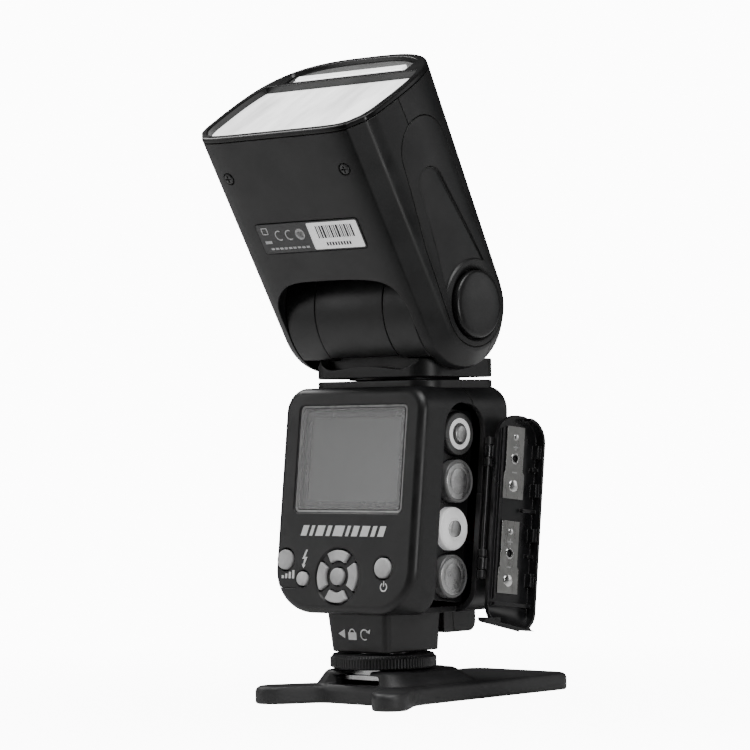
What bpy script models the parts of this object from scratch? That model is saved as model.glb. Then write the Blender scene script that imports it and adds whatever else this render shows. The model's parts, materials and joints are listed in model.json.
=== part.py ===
"""Speedlight flash on its small table stand, one object per physical piece.

Frame: metres, +Z up, origin on the table under the foot's lock ring.
+X is the battery-door side, -Y is the side with the display and buttons.
The stored pose has the head swivelled to face the display side and tilted
to its 60 degree stop, and the battery door swung open.
"""
import math

import bpy
from mathutils import Matrix, Vector

MM = 0.001
GAP = 0.3 * MM

# body
BODY_HALF_W = 31.5 * MM
BODY_BOTTOM = 30.1 * MM
BODY_TOP = 105.3 * MM
BODY_FRONT_Y = 31.8 * MM
PANEL_Y = -17.36 * MM          # display panel plane at PANEL_Z
PANEL_Z = 65.75 * MM
LEAN = 0.1165                  # dy per dz of the panel and the cell stack
TOP_CORNER = 8.0 * MM
REAR_CORNER = (17.0 * MM, 15.0 * MM)
MID_CORNER = (8.0 * MM, 8.0 * MM)
REAR_ROUND = 3.0 * MM
FRONT_ROUND = 4.5 * MM
WALL = 2.0 * MM
CHIN_HALF_W = 14.0 * MM
CHIN_BOTTOM = 22.5 * MM

# cells and their bay (bay frame: f forward, a up along the lean)
CELL_R = 7.15 * MM
CELL_PITCH = 15.79 * MM
CELL_END_X = 28.7 * MM
CELL_LEN = 50.5 * MM
BAY_Y = 6.0 * MM
DOOR_F = (-11.7 * MM, 8.0 * MM)
DOOR_A = (-41.0 * MM, 31.7 * MM)
DOOR_DROP = 4.4 * MM           # how far its lower lip hangs below the body
LEDGE_TOP = 33.8 * MM
HINGE_X = 33.2 * MM
HINGE_F = 8.7 * MM
DOOR_OPEN = math.radians(174)

# foot, ring and stand
RING_R = 17.84 * MM
RING_Z = (11.5 * MM, 16.4 * MM)
FOOT_HALF_W = 12.73 * MM
FOOT_Y = (-12.44 * MM, 14.81 * MM)
FOOT_Z = (17.0 * MM, 29.8 * MM)
FOOT_FLARE = 1.1 * MM
SHOE_HALF_W = 9.3 * MM         # 18.6 mm wide hot shoe plate
SHOE_HALF_L = 10.0 * MM
SHOE_Z = (7.7 * MM, 9.2 * MM)
TONGUE_Y = 74.5 * MM
STAND_SLAB = 6.0 * MM
HUB_TOP = 11.0 * MM

# neck and head (head frame: x, v away from the label face, w to the lens)
SWIVEL_Y = 12.8 * MM
NECK_HALF = (26.6 * MM, 19.2 * MM)
COLLAR_Z = (105.6 * MM, 107.4 * MM)
PLATE_Z = (108.3 * MM, 114.6 * MM)
TILT = (0.0, 6.4 * MM, 132.0 * MM)
HEAD_LEAN = math.radians(30.65)
BARREL_R = 21.5 * MM
CORE_HALF = 15.0 * MM
FORK_HALF = 28.9 * MM
HEAD_HALF_W = 38.3 * MM
HEAD_R = 22.1 * MM
HEAD_BACK = 34.6 * MM
HEAD_TOP = 75.6 * MM
RIM_TOP = 77.6 * MM
FORK_TOP = 23.0 * MM
COVER_X = 34.8 * MM
CAP_R = 11.2 * MM
SHAFT_R = 4.0 * MM
SEG = 32


def clear_scene():
    for obj in list(bpy.data.objects):
        bpy.data.objects.remove(obj, do_unlink=True)


def material(name, color, rough, metal=0.0, alpha=1.0):
    mat = bpy.data.materials.new(name)
    mat.use_nodes = True
    shader = mat.node_tree.nodes["Principled BSDF"]
    shader.inputs["Base Color"].default_value = (*color, 1.0)
    shader.inputs["Roughness"].default_value = rough
    shader.inputs["Metallic"].default_value = metal
    shader.inputs["Alpha"].default_value = alpha
    mat.diffuse_color = (*color, alpha)
    return mat


def axes_matrix(origin, ax, ay, az):
    mat = Matrix.Identity(4)
    for col, vec in enumerate((ax, ay, az)):
        for row in range(3):
            mat[row][col] = vec[row]
    for row in range(3):
        mat[row][3] = origin[row]
    return mat


NORM = math.hypot(1.0, LEAN)
UP_LEAN = Vector((0, LEAN / NORM, 1 / NORM))
FWD_LEAN = Vector((0, 1 / NORM, -LEAN / NORM))
X_AXIS = Vector((1, 0, 0))
HEAD_V = Vector((0, math.cos(HEAD_LEAN), math.sin(HEAD_LEAN)))
HEAD_W = Vector((0, -math.sin(HEAD_LEAN), math.cos(HEAD_LEAN)))
WORLD = Matrix.Identity(4)
PANEL = axes_matrix((0, PANEL_Y, PANEL_Z), X_AXIS, UP_LEAN, -FWD_LEAN)
BAY = axes_matrix((0, BAY_Y, PANEL_Z), X_AXIS, FWD_LEAN, UP_LEAN)
HEAD = axes_matrix(TILT, X_AXIS, HEAD_V, HEAD_W)
HINGE = BAY @ Vector((HINGE_X, HINGE_F, 0))
DOOR_SWING = (Matrix.Translation(HINGE) @ Matrix.Rotation(DOOR_OPEN, 4, UP_LEAN)
              @ Matrix.Translation(-HINGE))


def make(name, verts, faces, mat=None, frame=WORLD, origin=(0, 0, 0), smooth=False):
    """Object from points in a frame, with its own origin and outward faces."""
    import bmesh
    origin = Vector(origin)
    mesh = bpy.data.meshes.new(name)
    mesh.from_pydata([frame @ Vector(v) - origin for v in verts], [], faces)
    bm = bmesh.new()
    bm.from_mesh(mesh)
    bmesh.ops.remove_doubles(bm, verts=bm.verts, dist=1e-7)
    bmesh.ops.recalc_face_normals(bm, faces=bm.faces)
    for face in bm.faces:
        face.smooth = smooth
    bm.to_mesh(mesh)
    bm.free()
    obj = bpy.data.objects.new(name, mesh)
    obj.location = origin
    bpy.context.scene.collection.objects.link(obj)
    if mat:
        mesh.materials.append(mat)
    else:
        obj.hide_render = True
        obj.display_type = "WIRE"
    return obj


def loft(rings):
    """Closed solid through rings of equal length."""
    count = len(rings[0])
    verts = [p for ring in rings for p in ring]
    faces = [list(range(count))[::-1]]
    for r in range(len(rings) - 1):
        for i in range(count):
            j = (i + 1) % count
            faces.append((r * count + i, r * count + j,
                          (r + 1) * count + j, (r + 1) * count + i))
    last = (len(rings) - 1) * count
    faces.append(list(range(last, last + count)))
    return verts, faces


def prism(outline, lo, hi, axis=2):
    """Outline on the two other axes, extruded from lo to hi on this axis."""
    def put(p, h):
        point = list(p)
        point.insert(axis, h)
        return tuple(point)
    return loft([[put(p, lo) for p in outline], [put(p, hi) for p in outline]])


def box(x0, x1, y0, y1, z0, z1):
    return prism([(x0, y0), (x1, y0), (x1, y1), (x0, y1)], z0, z1)


def lathe(profile, center=(0, 0), axis=2, seg=SEG, closed=False):
    """Turn (radius, height) points about an axis; closed makes a ring."""
    rings = []
    for radius, height in profile:
        ring = []
        for i in range(seg):
            ang = 2 * math.pi * i / seg
            point = [center[0] + radius * math.cos(ang), center[1] + radius * math.sin(ang)]
            point.insert(axis, height)
            ring.append(tuple(point))
        rings.append(ring)
    if not closed:
        return loft(rings)
    verts, faces = loft(rings + [rings[0]])
    return verts, faces[1:-1]


def rod(radius, lo, hi, center=(0, 0), axis=2, seg=SEG):
    return lathe([(radius, lo), (radius, hi)], center, axis, seg)


def arc(cx, cy, rx, ry, start, end, steps):
    out = []
    for i in range(steps + 1):
        ang = math.radians(start + (end - start) * i / steps)
        out.append((cx + rx * math.cos(ang), cy + ry * math.sin(ang)))
    return out


def rounded(x0, x1, y0, y1, r, steps=5):
    out = []
    for cx, cy, start in ((x1 - r, y1 - r, 0), (x0 + r, y1 - r, 90),
                          (x0 + r, y0 + r, 180), (x1 - r, y0 + r, 270)):
        out += arc(cx, cy, r, r, start, start + 90, steps)
    return out


def modify(obj, tools, operation="DIFFERENCE"):
    for tool in tools:
        mod = obj.modifiers.new(tool.name, "BOOLEAN")
        mod.operation = operation
        mod.solver = "EXACT"
        mod.object = tool
    return obj


def swing(obj):
    """Turn a piece built with the door shut to the door's open place."""
    obj.matrix_world = DOOR_SWING @ Matrix.Translation(obj.location)
    return obj


# ---------------------------------------------------------------- stand
def stand_outline():
    half = [(10.5, -16.8), (14.0, -18.6), (19.6, -27.6), (22.5, -30.8), (26.0, -32.2),
            (29.6, -31.2), (31.9, -28.2), (31.6, -24.4), (28.6, -19.2), (23.6, -11.0),
            (22.0, -5.0), (22.0, 67.0)]
    half = [(x * MM, y * MM) for x, y in half]
    half += arc(16 * MM, TONGUE_Y - 6 * MM, 6 * MM, 6 * MM, 10, 90, 4)
    return half + [(-x, y) for x, y in reversed(half)]


def build_stand(mat, brass):
    outline = stand_outline()
    cx, cy = 0.0, 20 * MM

    def inset(amount):
        out = []
        for x, y in outline:
            dx, dy = x - cx, y - cy
            scale = 1 - amount / math.hypot(dx, dy)
            out.append((cx + dx * scale, cy + dy * scale))
        return out
    rings = [[(*p, 0.0) for p in inset(0.3 * MM)], [(*p, 0.4 * MM) for p in outline],
             [(*p, STAND_SLAB - 1.3 * MM) for p in outline],
             [(*p, STAND_SLAB - 0.4 * MM) for p in inset(0.5 * MM)],
             [(*p, STAND_SLAB) for p in inset(1.4 * MM)]]
    stand = make("stand", *loft(rings), mat)
    levels = ((3.0, 21.0, -16.2, 31.0, 7.0), (7.0, 19.0, -15.4, 27.5, 7.0),
              (10.3, 16.8, -14.2, 23.0, 6.0), (HUB_TOP / MM, 16.0, -13.6, 21.5, 5.4))
    hub = make("stand_hub_add", *loft([
        [(*p, z * MM) for p in rounded(-w * MM, w * MM, a * MM, b * MM, r * MM)]
        for z, w, a, b, r in levels]))
    modify(stand, [hub], "UNION")
    floor, roof = 6.3 * MM, SHOE_Z[1] + GAP
    end = SHOE_HALF_L + GAP
    inner = SHOE_HALF_W + GAP
    channel = [(-inner, end), (-inner, -13.2 * MM), (-13.7 * MM, -17.5 * MM),
               (-13.7 * MM, -40 * MM), (13.7 * MM, -40 * MM), (13.7 * MM, -17.5 * MM),
               (inner, -13.2 * MM), (inner, end)]
    modify(stand, [
        make("stand_channel_cut", *prism(channel, floor, roof)),
        make("stand_lip_cut", *box(-6.35 * MM, 6.35 * MM, -40 * MM, end, floor, 20 * MM)),
        make("stand_insert_cut", *rod(4.5 * MM, -1 * MM, 8.3 * MM, (0, 24 * MM))),
        make("stand_under_cut", *prism(rounded(-18 * MM, 18 * MM, 36 * MM, 69 * MM, 5 * MM),
                                       -1 * MM, 1.5 * MM)),
    ])
    thread = [(2.6, 0.2), (4.2, 0.2), (4.2, 8.0), (2.6, 8.0)]
    make("stand_insert", *lathe([(r * MM, z * MM) for r, z in thread], (0, 24 * MM),
                                closed=True), brass)


# ---------------------------------------------------------------- foot
def build_foot(steel, plastic, gold):
    plate = make("foot_plate", *prism(rounded(-SHOE_HALF_W, SHOE_HALF_W, -SHOE_HALF_L,
                                              SHOE_HALF_L, 1.2 * MM, 3), *SHOE_Z), steel)
    modify(plate, [
        make("foot_stem_add", *box(-6 * MM, 6 * MM, -8.5 * MM, 8.5 * MM, 8.5 * MM, 11.35 * MM)),
        make("foot_column_add", *rod(9 * MM, 11.25 * MM, 16.7 * MM)),
    ], "UNION")
    modify(plate, [
        make("foot_pin_cut", *rod(0.93 * MM, 0, 15.9 * MM, (0, 5.5 * MM), seg=16)),
        make("foot_carrier_cut", *box(-4.5 * MM, 4.5 * MM, -5.5 * MM, 3.0 * MM, 0, 8.7 * MM)),
    ])
    carrier = make("contact_carrier", *box(-4.2 * MM, 4.2 * MM, -5.2 * MM, 2.7 * MM,
                                           7.5 * MM, 8.4 * MM), gold)
    modify(carrier, [make("contact_pin_add_%d" % i,
                          *rod(0.6 * MM, 7.1 * MM, 8 * MM, (x * MM, y * MM), seg=12))
                     for i, (x, y) in enumerate(((0, -1.2), (-2.6, -3.6), (2.6, -3.6),
                                                 (-2.6, 1.2), (2.6, 1.2)))], "UNION")
    make("lock_pin", *rod(0.85 * MM, 6.6 * MM, 14.6 * MM, (0, 5.5 * MM), seg=16), steel,
         origin=(0, 5.5 * MM, 6.6 * MM))
    rings = []
    for z, flare in ((FOOT_Z[0], -0.3 * MM), (FOOT_Z[0] + 0.4 * MM, 0.0), (FOOT_Z[1], FOOT_FLARE)):
        half = FOOT_HALF_W + flare
        rings.append([(*p, z) for p in rounded(-half, half, FOOT_Y[0] - flare, FOOT_Y[1],
                                               2.4 * MM)])
    make("foot_block", *loft(rings), plastic)


def build_ring(mat):
    teeth, lo, hi = 42, *RING_Z
    outer, step, inner = [], [], []
    for i in range(teeth * 2):
        ang = 2 * math.pi * i / (teeth * 2)
        high = i % 2 == 0
        for ring, radius in ((outer, RING_R if high else RING_R - 0.7 * MM),
                             (step, 16.6 * MM), (inner, 9.08 * MM)):
            ring.append((radius * math.cos(ang), radius * math.sin(ang)))
    rings = [[(*p, lo) for p in inner], [(*p, lo) for p in step],
             [(*p, lo + 0.6 * MM) for p in outer], [(*p, hi - 1.4 * MM) for p in outer],
             [(*p, hi - 0.8 * MM) for p in step], [(*p, hi) for p in step],
             [(*p, hi) for p in inner]]
    verts, faces = loft(rings + [rings[0]])
    make("lock_ring", verts, faces[1:-1], mat)


# ---------------------------------------------------------------- body
def body_ring(inset, off_rear=None, off_front=None, blend=1.0, drop=0.0):
    """Body outline, shrunk by inset, laid off from the panel or front face."""
    half, top, low = BODY_HALF_W - inset, BODY_TOP - inset, BODY_BOTTOM + inset - drop
    rt = max(TOP_CORNER - inset, 1 * MM)
    rx = max(REAR_CORNER[0] * (1 - blend) + MID_CORNER[0] * blend - inset, 1 * MM)
    rz = max(REAR_CORNER[1] * (1 - blend) + MID_CORNER[1] * blend - inset, 1 * MM)
    outline = (arc(half - rt, top - rt, rt, rt, 0, 90, 5)
               + arc(rt - half, top - rt, rt, rt, 90, 180, 5)
               + arc(rx - half, low + rz, rx, rz, 180, 270, 7)
               + arc(half - rx, low + rz, rx, rz, 270, 360, 7))
    ring = []
    for x, z in outline:
        if off_rear is not None:
            y = PANEL_Y + LEAN * (z - PANEL_Z) + off_rear
        else:
            y = BODY_FRONT_Y - off_front
        ring.append((x, y, z))
    return ring


def body_solid(inset, drop=0.0):
    """Rings of the body's outer form, or of its inside when inset."""
    rings = []
    for k in range(4):
        ang = math.radians(30 * k)
        rings.append(body_ring(inset + REAR_ROUND * (1 - math.sin(ang)), blend=0, drop=drop,
                               off_rear=inset + REAR_ROUND * (1 - math.cos(ang))))
    rings.append(body_ring(inset, off_rear=10 * MM, drop=drop))
    for k in range(3, -1, -1):
        ang = math.radians(30 * k)
        rings.append(body_ring(inset + FRONT_ROUND * (1 - math.sin(ang)), drop=drop,
                               off_front=inset + FRONT_ROUND * (1 - math.cos(ang))))
    return loft(rings)


def split_line(shift):
    return [(10.9 * MM - 0.114 * (z - 105 * MM) + shift, z) for z in (0.0, 140 * MM)]


def half_space(name, side):
    """Everything in front of (side 1) or behind (side -1) the body seam."""
    (y0, z0), (y1, z1) = split_line(-side * 0.5 * GAP)
    far = side * 90 * MM
    outline = [(y0, z0), (y1, z1), (far, z1), (far, z0)]
    return make(name, *prism(outline, -60 * MM, 60 * MM, 0))


def chin_outline():
    y0, y1, low = FOOT_Y[1] + GAP, 31.5 * MM, CHIN_BOTTOM
    return ([(y0, 36 * MM), (y0, low + 0.6 * MM), (y0 + 0.6 * MM, low)]
            + arc(y1 - 3.4 * MM, low + 3.4 * MM, 3.4 * MM, 3.4 * MM, 270, 360, 4)
            + [(y1, 40 * MM), (y0 + 8 * MM, 40 * MM)])


def door_outline(grow, ledge=0.0):
    f0, f1, a0, a1 = DOOR_F[0] - grow, DOOR_F[1] + grow, DOOR_A[0] - grow, DOOR_A[1] + grow
    a1 = max(a1, ledge)
    top = 9 * MM + grow
    low = 7 * MM + grow
    return (arc(f1 - top, a1 - top, top, top, 0, 90, 5)
            + arc(f0 + top, a1 - top, top, top, 90, 180, 5)
            + arc(f0 + low, a0 + low, low, low, 180, 270, 3)
            + [(14.4 * MM + grow, a0), (15.6 * MM + grow, a0 + 0.7 * MM),
               (15.8 * MM + grow, -39.0 * MM - grow), (15.0 * MM + grow, -37.9 * MM - grow),
               (13.0 * MM + grow, -36.6 * MM + grow), (f1, -36.4 * MM + grow)])


LUGS = {"front_shell": (15.2, 22.2), "rear_shell": (-22.2, -15.2)}
KNUCKLES = (18.7, -18.7)


def hinge_piece(name, center_a, length, on_door):
    """Round ear on the hinge axis, with a foot onto the door or the body."""
    lo, hi = (center_a - length / 2) * MM, (center_a + length / 2) * MM
    steps = arc(HINGE_X, HINGE_F, 1.4 * MM, 1.4 * MM, 0, 360, 16)[:-1]
    if on_door:
        foot = [(31.2, 4.6), (33.0, 4.6), (33.0, 8.7), (31.85, 8.7), (31.85, 8.2), (31.2, 7.4)]
    else:
        foot = [(30.9, 8.7), (33.2, 8.7), (33.2, 11.6), (30.9, 11.6)]
    foot = [(x * MM, f * MM) for x, f in foot]
    return [make(name + "_ear_add", *prism(steps, lo, hi), frame=BAY),
            make(name + "_foot_add", *prism(foot, lo, hi), frame=BAY)]


def arc_key(r0, r1, mid, half, steps=6):
    return (arc(0, 0, r1, r1, mid - half, mid + half, steps)
            + arc(0, 0, r0, r0, mid + half, mid - half, steps))


def panel_height(z):
    return (z * MM - PANEL_Z) * NORM


PAD = (-2.2 * MM, panel_height(42.6))
ROUND_KEYS = {"button_mode": (-26.1, 47.8, 3.5), "button_test": (-17.7, 41.6, 2.5),
              "button_power": (18.0, 45.7, 3.5)}
ARC_KEYS = {"key_right": 0, "key_up": 90, "key_left": 180, "key_down": 270}
WINDOW = (-23.0 * MM, 23.4 * MM, panel_height(64.4), panel_height(98.7))


def panel_cutters():
    x0, x1, a0, a1 = WINDOW
    cuts = [make("window_step_cut", *prism(rounded(x0 - 1.0 * MM, x1 + 1.0 * MM,
                                                   a0 - 1.0 * MM, a1 + 1.0 * MM, 2.2 * MM),
                                           -0.9 * MM, 2 * MM), frame=PANEL),
            make("window_cut", *prism(rounded(x0 + 0.8 * MM, x1 - 0.8 * MM, a0 + 0.8 * MM,
                                              a1 - 0.8 * MM, 1 * MM), -4 * MM, 2 * MM),
                 frame=PANEL)]
    for name, (x, z, r) in ROUND_KEYS.items():
        cuts.append(make(name + "_cut", *rod((r + 0.3) * MM, -6 * MM, 2 * MM,
                                             (x * MM, panel_height(z)), seg=28), frame=PANEL))
    well = make("pad_well_cut", *rod(9.6 * MM, -0.7 * MM, 2 * MM, PAD), frame=PANEL)
    centre = make("key_set_cut", *rod(3.3 * MM, -6 * MM, 2 * MM, PAD, seg=24), frame=PANEL)
    cuts += [well, centre]
    for name, mid in ARC_KEYS.items():
        outline = [(PAD[0] + x, PAD[1] + y)
                   for x, y in arc_key(4.9 * MM, 9.2 * MM, mid, 35.5)]
        cuts.append(make(name + "_cut", *prism(outline, -6 * MM, 2 * MM), frame=PANEL))
    return cuts


def build_shells(mat):
    opening = make("bay_opening_cut", *prism(door_outline(GAP), 23.5 * MM, 45 * MM, 0),
                   frame=BAY)
    ledge = make("bay_ledge_cut", *prism(door_outline(GAP, LEDGE_TOP), 29.0 * MM, 45 * MM, 0),
                 frame=BAY)
    cavity = make("body_cavity_cut", *body_solid(WALL))
    spindle = make("spindle_hole_cut", *rod(9.4 * MM, 100 * MM, 112 * MM, (0, SWIVEL_Y)))
    pin = make("hinge_pin_cut", *rod(0.775 * MM, -30 * MM, 30 * MM, (HINGE_X, HINGE_F),
                                     seg=16), frame=BAY)
    chin = prism(chin_outline(), -CHIN_HALF_W, CHIN_HALF_W, 0)
    for name, side in (("rear_shell", 1), ("front_shell", -1)):
        shell = make(name, *body_solid(0.0), mat)
        modify(shell, [make(name + "_chin_add", *chin)], "UNION")
        modify(shell, [cavity, half_space(name + "_seam_cut", side), opening, ledge, spindle])
        for lug in LUGS[name]:
            modify(shell, hinge_piece(name + "_lug_%d" % abs(lug), lug, 2.4, False),
                   "UNION")
        modify(shell, [pin])
        if side == 1:
            modify(shell, panel_cutters())
        else:
            modify(shell, [make("sensor_window_cut",
                                *prism(rounded(-19 * MM, 19 * MM, 41 * MM, 64 * MM, 3 * MM),
                                       20 * MM, 40 * MM, 1))])


def build_panel_parts(mats):
    x0, x1, a0, a1 = WINDOW
    outer = rounded(x0 - 0.7 * MM, x1 + 0.7 * MM, a0 - 0.7 * MM, a1 + 0.7 * MM, 1.9 * MM)
    inner = rounded(x0 + 0.1 * MM, x1 - 0.1 * MM, a0 + 0.1 * MM, a1 - 0.1 * MM, 1.2 * MM)
    glass = rounded(x0 + 0.4 * MM, x1 - 0.4 * MM, a0 + 0.4 * MM, a1 - 0.4 * MM, 1 * MM)
    rings = [[(*p, h) for p in ring] for ring, h in (
        (inner, -0.6 * MM), (outer, -0.6 * MM), (outer, -0.1 * MM), (inner, -0.1 * MM))]
    verts, faces = loft(rings + [rings[0]])
    make("window_rim", verts, faces[1:-1], mats["trim"], PANEL)
    make("display_window", *prism(glass, -0.6 * MM, -0.25 * MM), mats["window"], PANEL)
    make("display_module", *prism(rounded(x0 + 1.2 * MM, x1 - 1.2 * MM, a0 + 1.2 * MM,
                                          a1 - 1.2 * MM, 1 * MM), -4.6 * MM, -2.3 * MM),
         mats["display"], PANEL)
    make("main_board", *prism(rounded(-26 * MM, 26 * MM, -27 * MM, 33.5 * MM, 7 * MM),
                              -6.6 * MM, -5.0 * MM), mats["board"], PANEL)
    for name, (x, z, r) in ROUND_KEYS.items():
        dome = 0.5 if name == "button_test" else 0.0
        prof = [(r, -3.3), (r, 0.5), (r - 0.35, 0.85), (r * 0.55, 0.95 + 0.6 * dome),
                (0.05, 0.95 + dome)]
        centre = (x * MM, panel_height(z))
        make(name, *lathe([(a * MM, b * MM) for a, b in prof], centre, seg=28),
             mats["key"], PANEL, origin=PANEL @ Vector((*centre, 0)), smooth=True)
    make("key_set", *lathe([(a * MM, b * MM) for a, b in (
        (3.0, -3.3), (3.0, 0.2), (2.7, 0.5), (0.05, 0.6))], PAD, seg=24), mats["key"],
        PANEL, origin=PANEL @ Vector((*PAD, 0)), smooth=True)
    for name, mid in ARC_KEYS.items():
        wide = [(PAD[0] + x, PAD[1] + y) for x, y in arc_key(5.2 * MM, 8.9 * MM, mid, 33)]
        slim = [(PAD[0] + x, PAD[1] + y) for x, y in arc_key(5.5 * MM, 8.6 * MM, mid, 31)]
        rings = [[(*p, -3.2 * MM) for p in wide], [(*p, 0.2 * MM) for p in wide],
                 [(*p, 0.5 * MM) for p in slim]]
        make(name, *loft(rings), mats["key"], PANEL, origin=PANEL @ Vector((*PAD, 0)))


# ---------------------------------------------------------------- cells
def build_cells(mats):
    cage = make("cell_cage", *box(-25.2 * MM, 25.5 * MM, -8.7 * MM, 8.7 * MM, -31.9 * MM,
                                  31.9 * MM), mats["cage"], BAY)
    for i in range(4):
        a = (1.5 - i) * CELL_PITCH
        modify(cage, [make("cell_bore_cut_%d" % (i + 1),
                           *rod(CELL_R + GAP, -22.9 * MM, 30 * MM, (0, a), 0), frame=BAY)])
        positive = i % 2 == 0
        end = CELL_END_X
        start = end - CELL_LEN
        prof = [(6.6, 0), (7.15, 0.5), (7.15, 49.0), (6.9, 49.5), (2.75, 49.5), (2.7, 50.5)]
        if positive:
            prof = [(r * MM, start + h * MM) for r, h in prof]
        else:
            prof = [(r * MM, end - h * MM) for r, h in prof]
        make("cell_%d" % (i + 1), *lathe(prof, (0, a), 0, 28), mats["cell_%d" % (i + 1)],
             BAY,
             origin=BAY @ Vector((end, 0, a)), smooth=True)
    for name, mid in (("cell_contact_upper", CELL_PITCH), ("cell_contact_lower", -CELL_PITCH)):
        lo, hi = mid - 12.5 * MM, mid + 12.5 * MM
        modify(cage, [make(name + "_cut", *box(-23.1 * MM, -22.2 * MM, -4.3 * MM, 4.3 * MM,
                                               lo, hi), frame=BAY)])
        strip = make(name, *box(-22.9 * MM, -22.5 * MM, -4 * MM, 4 * MM, lo + GAP, hi - GAP),
                     mats["contact"], BAY)
        bump = mid - 0.5 * CELL_PITCH
        modify(strip, [make(name + "_bump_add", *rod(2.2 * MM, -22.7 * MM, -22.1 * MM,
                                                     (0, bump), 0, 16), frame=BAY)], "UNION")
    make("flash_capacitor", *lathe([(6.5 * MM, -27 * MM), (7.2 * MM, -26.4 * MM),
                                    (7.2 * MM, 19.4 * MM), (6.5 * MM, 20 * MM)],
                                   (21.6 * MM, 46 * MM), 0), mats["capacitor"], smooth=True)
    make("sensor_window", *prism(rounded(-18.7 * MM, 18.7 * MM, 41.3 * MM, 63.7 * MM,
                                         2.7 * MM), 30.2 * MM, 31.6 * MM, 1),
         mats["sensor"])


def build_door(mats):
    pivot = HINGE
    door = make("battery_door", *body_solid(0.0, DOOR_DROP), mats["shell"], origin=pivot)
    tools = [make("door_outline_keep", *prism(door_outline(0.0), 24 * MM, 45 * MM, 0),
                  frame=BAY, origin=pivot)]
    modify(door, tools, "INTERSECT")
    inside = make("door_inside_cut", *body_solid(1.5 * MM, DOOR_DROP), origin=pivot)
    rim = door_outline(-0.7 * MM)[8:16] + door_outline(-1.9 * MM)[8:16][::-1]
    ribs = [make("door_rim_keep", *prism(rim, 26.4 * MM, 45 * MM, 0), frame=BAY,
                 origin=pivot)]
    ribs += [make("door_rib_keep_%d" % i, *box(28.4 * MM, 45 * MM, -10.2 * MM, f * MM,
                                               (a - 0.6) * MM, (a + 0.6) * MM),
                  frame=BAY, origin=pivot)
             for i, (a, f) in enumerate(((14, -7.6), (0, -4.2), (-15, -7.6), (-31.6, 6.4)))]
    modify(inside, ribs)
    modify(door, [inside])
    ears = []
    for n in KNUCKLES:
        ears += hinge_piece("door_knuckle_%d" % (n > 0), n, 3.8, True)
    modify(door, ears, "UNION")
    hole = make("door_pin_cut", *rod(0.775 * MM, -30 * MM, 30 * MM, (HINGE_X, HINGE_F),
                                     seg=16), frame=BAY, origin=pivot)
    modify(door, [hole])
    for obj in [door, inside, hole] + tools + ribs + ears:
        swing(obj)
    make("door_pin", *rod(0.7 * MM, -23.8 * MM, 23.8 * MM, (HINGE_X, HINGE_F), seg=16),
         mats["steel"], BAY)
    for name, mid in (("door_contact_upper", CELL_PITCH), ("door_contact_lower", -CELL_PITCH)):
        m = mid / MM
        outline = [(-4.0, m + 12), (-4.0, m - 3), (-4.8, m - 4), (-4.8, m - 12.2),
                   (4.6, m - 12.2), (4.6, m - 4), (4.0, m - 3), (4.0, m + 12)]
        plate = make(name, *prism([(f * MM, a * MM) for f, a in outline], 29.3 * MM,
                                  29.7 * MM, 0), mats["contact"], BAY, origin=pivot)
        dome = make(name + "_dome_add", *lathe([(2.0 * MM, 29.5 * MM), (1.7 * MM, 29.1 * MM),
                                                (0.9 * MM, 28.9 * MM)],
                                               (0, mid - 0.5 * CELL_PITCH), 0, 16),
                    frame=BAY, origin=pivot)
        ring = make(name + "_ring_cut", *rod(1.4 * MM, 28 * MM, 31 * MM,
                                             (0, mid + 1.2 * MM), 0, 16),
                    frame=BAY, origin=pivot)
        modify(plate, [dome], "UNION")
        modify(plate, [ring])
        for obj in (plate, dome, ring):
            swing(obj)


# ---------------------------------------------------------------- neck
def neck_outline(shrink=0.0):
    a, b = NECK_HALF[0] - shrink, NECK_HALF[1] - shrink
    return rounded(-a, a, SWIVEL_Y - b, SWIVEL_Y + b, 8 * MM - shrink, 6)


def build_neck(mats):
    tilt_c = (TILT[1], TILT[2])
    outer = neck_outline()
    collar = make("swivel_collar", *loft([
        [(*p, COLLAR_Z[0]) for p in outer], [(*p, COLLAR_Z[1] - 0.4 * MM) for p in outer],
        [(*p, COLLAR_Z[1]) for p in neck_outline(0.4 * MM)]]), mats["shell"])
    modify(collar, [make("collar_hole_cut", *rod(9.08 * MM, 100 * MM, 112 * MM,
                                                 (0, SWIVEL_Y)))])
    base = make("swivel_base", *loft([
        [(*p, PLATE_Z[0]) for p in neck_outline(0.3 * MM)],
        [(*p, PLATE_Z[0] + 0.3 * MM) for p in outer], [(*p, PLATE_Z[1]) for p in outer]]),
        mats["shell"], origin=(0, SWIVEL_Y, PLATE_Z[0]))
    modify(base, [
        make("barrel_core_add", *rod(BARREL_R, -CORE_HALF, CORE_HALF, tilt_c, 0, 56)),
        make("spindle_add", *rod(9 * MM, 103 * MM, 109 * MM, (0, SWIVEL_Y))),
        make("turntable_add", *rod(18.7 * MM, COLLAR_Z[1] + GAP, 109 * MM, (0, SWIVEL_Y),
                                   seg=72)),
    ], "UNION")
    shaft_hole = make("neck_shaft_cut", *rod(SHAFT_R + GAP, -50 * MM, 50 * MM, tilt_c, 0, 48))
    modify(base, [shaft_hole, make("thumb_scoop_cut", *prism(
        rounded(-20.5 * MM, 22.5 * MM, 111.4 * MM, 115.8 * MM, 2 * MM), -12 * MM,
        -4.9 * MM, 1))])
    floor = make("neck_cap_floor_cut", *box(-40 * MM, 40 * MM, -40 * MM, 60 * MM, 90 * MM,
                                            PLATE_Z[1] + GAP))
    for side, name in ((1, "neck_cap_right"), (-1, "neck_cap_left")):
        lo, hi = sorted((side * (CORE_HALF + GAP), side * 28.5 * MM))
        modify(make(name, *rod(BARREL_R, lo, hi, tilt_c, 0, 56), mats["shell"]),
               [shaft_hole, floor])
    make("tilt_shaft", *rod(SHAFT_R, -36.4 * MM, 36.4 * MM, tilt_c, 0, 48), mats["steel"])


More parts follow.
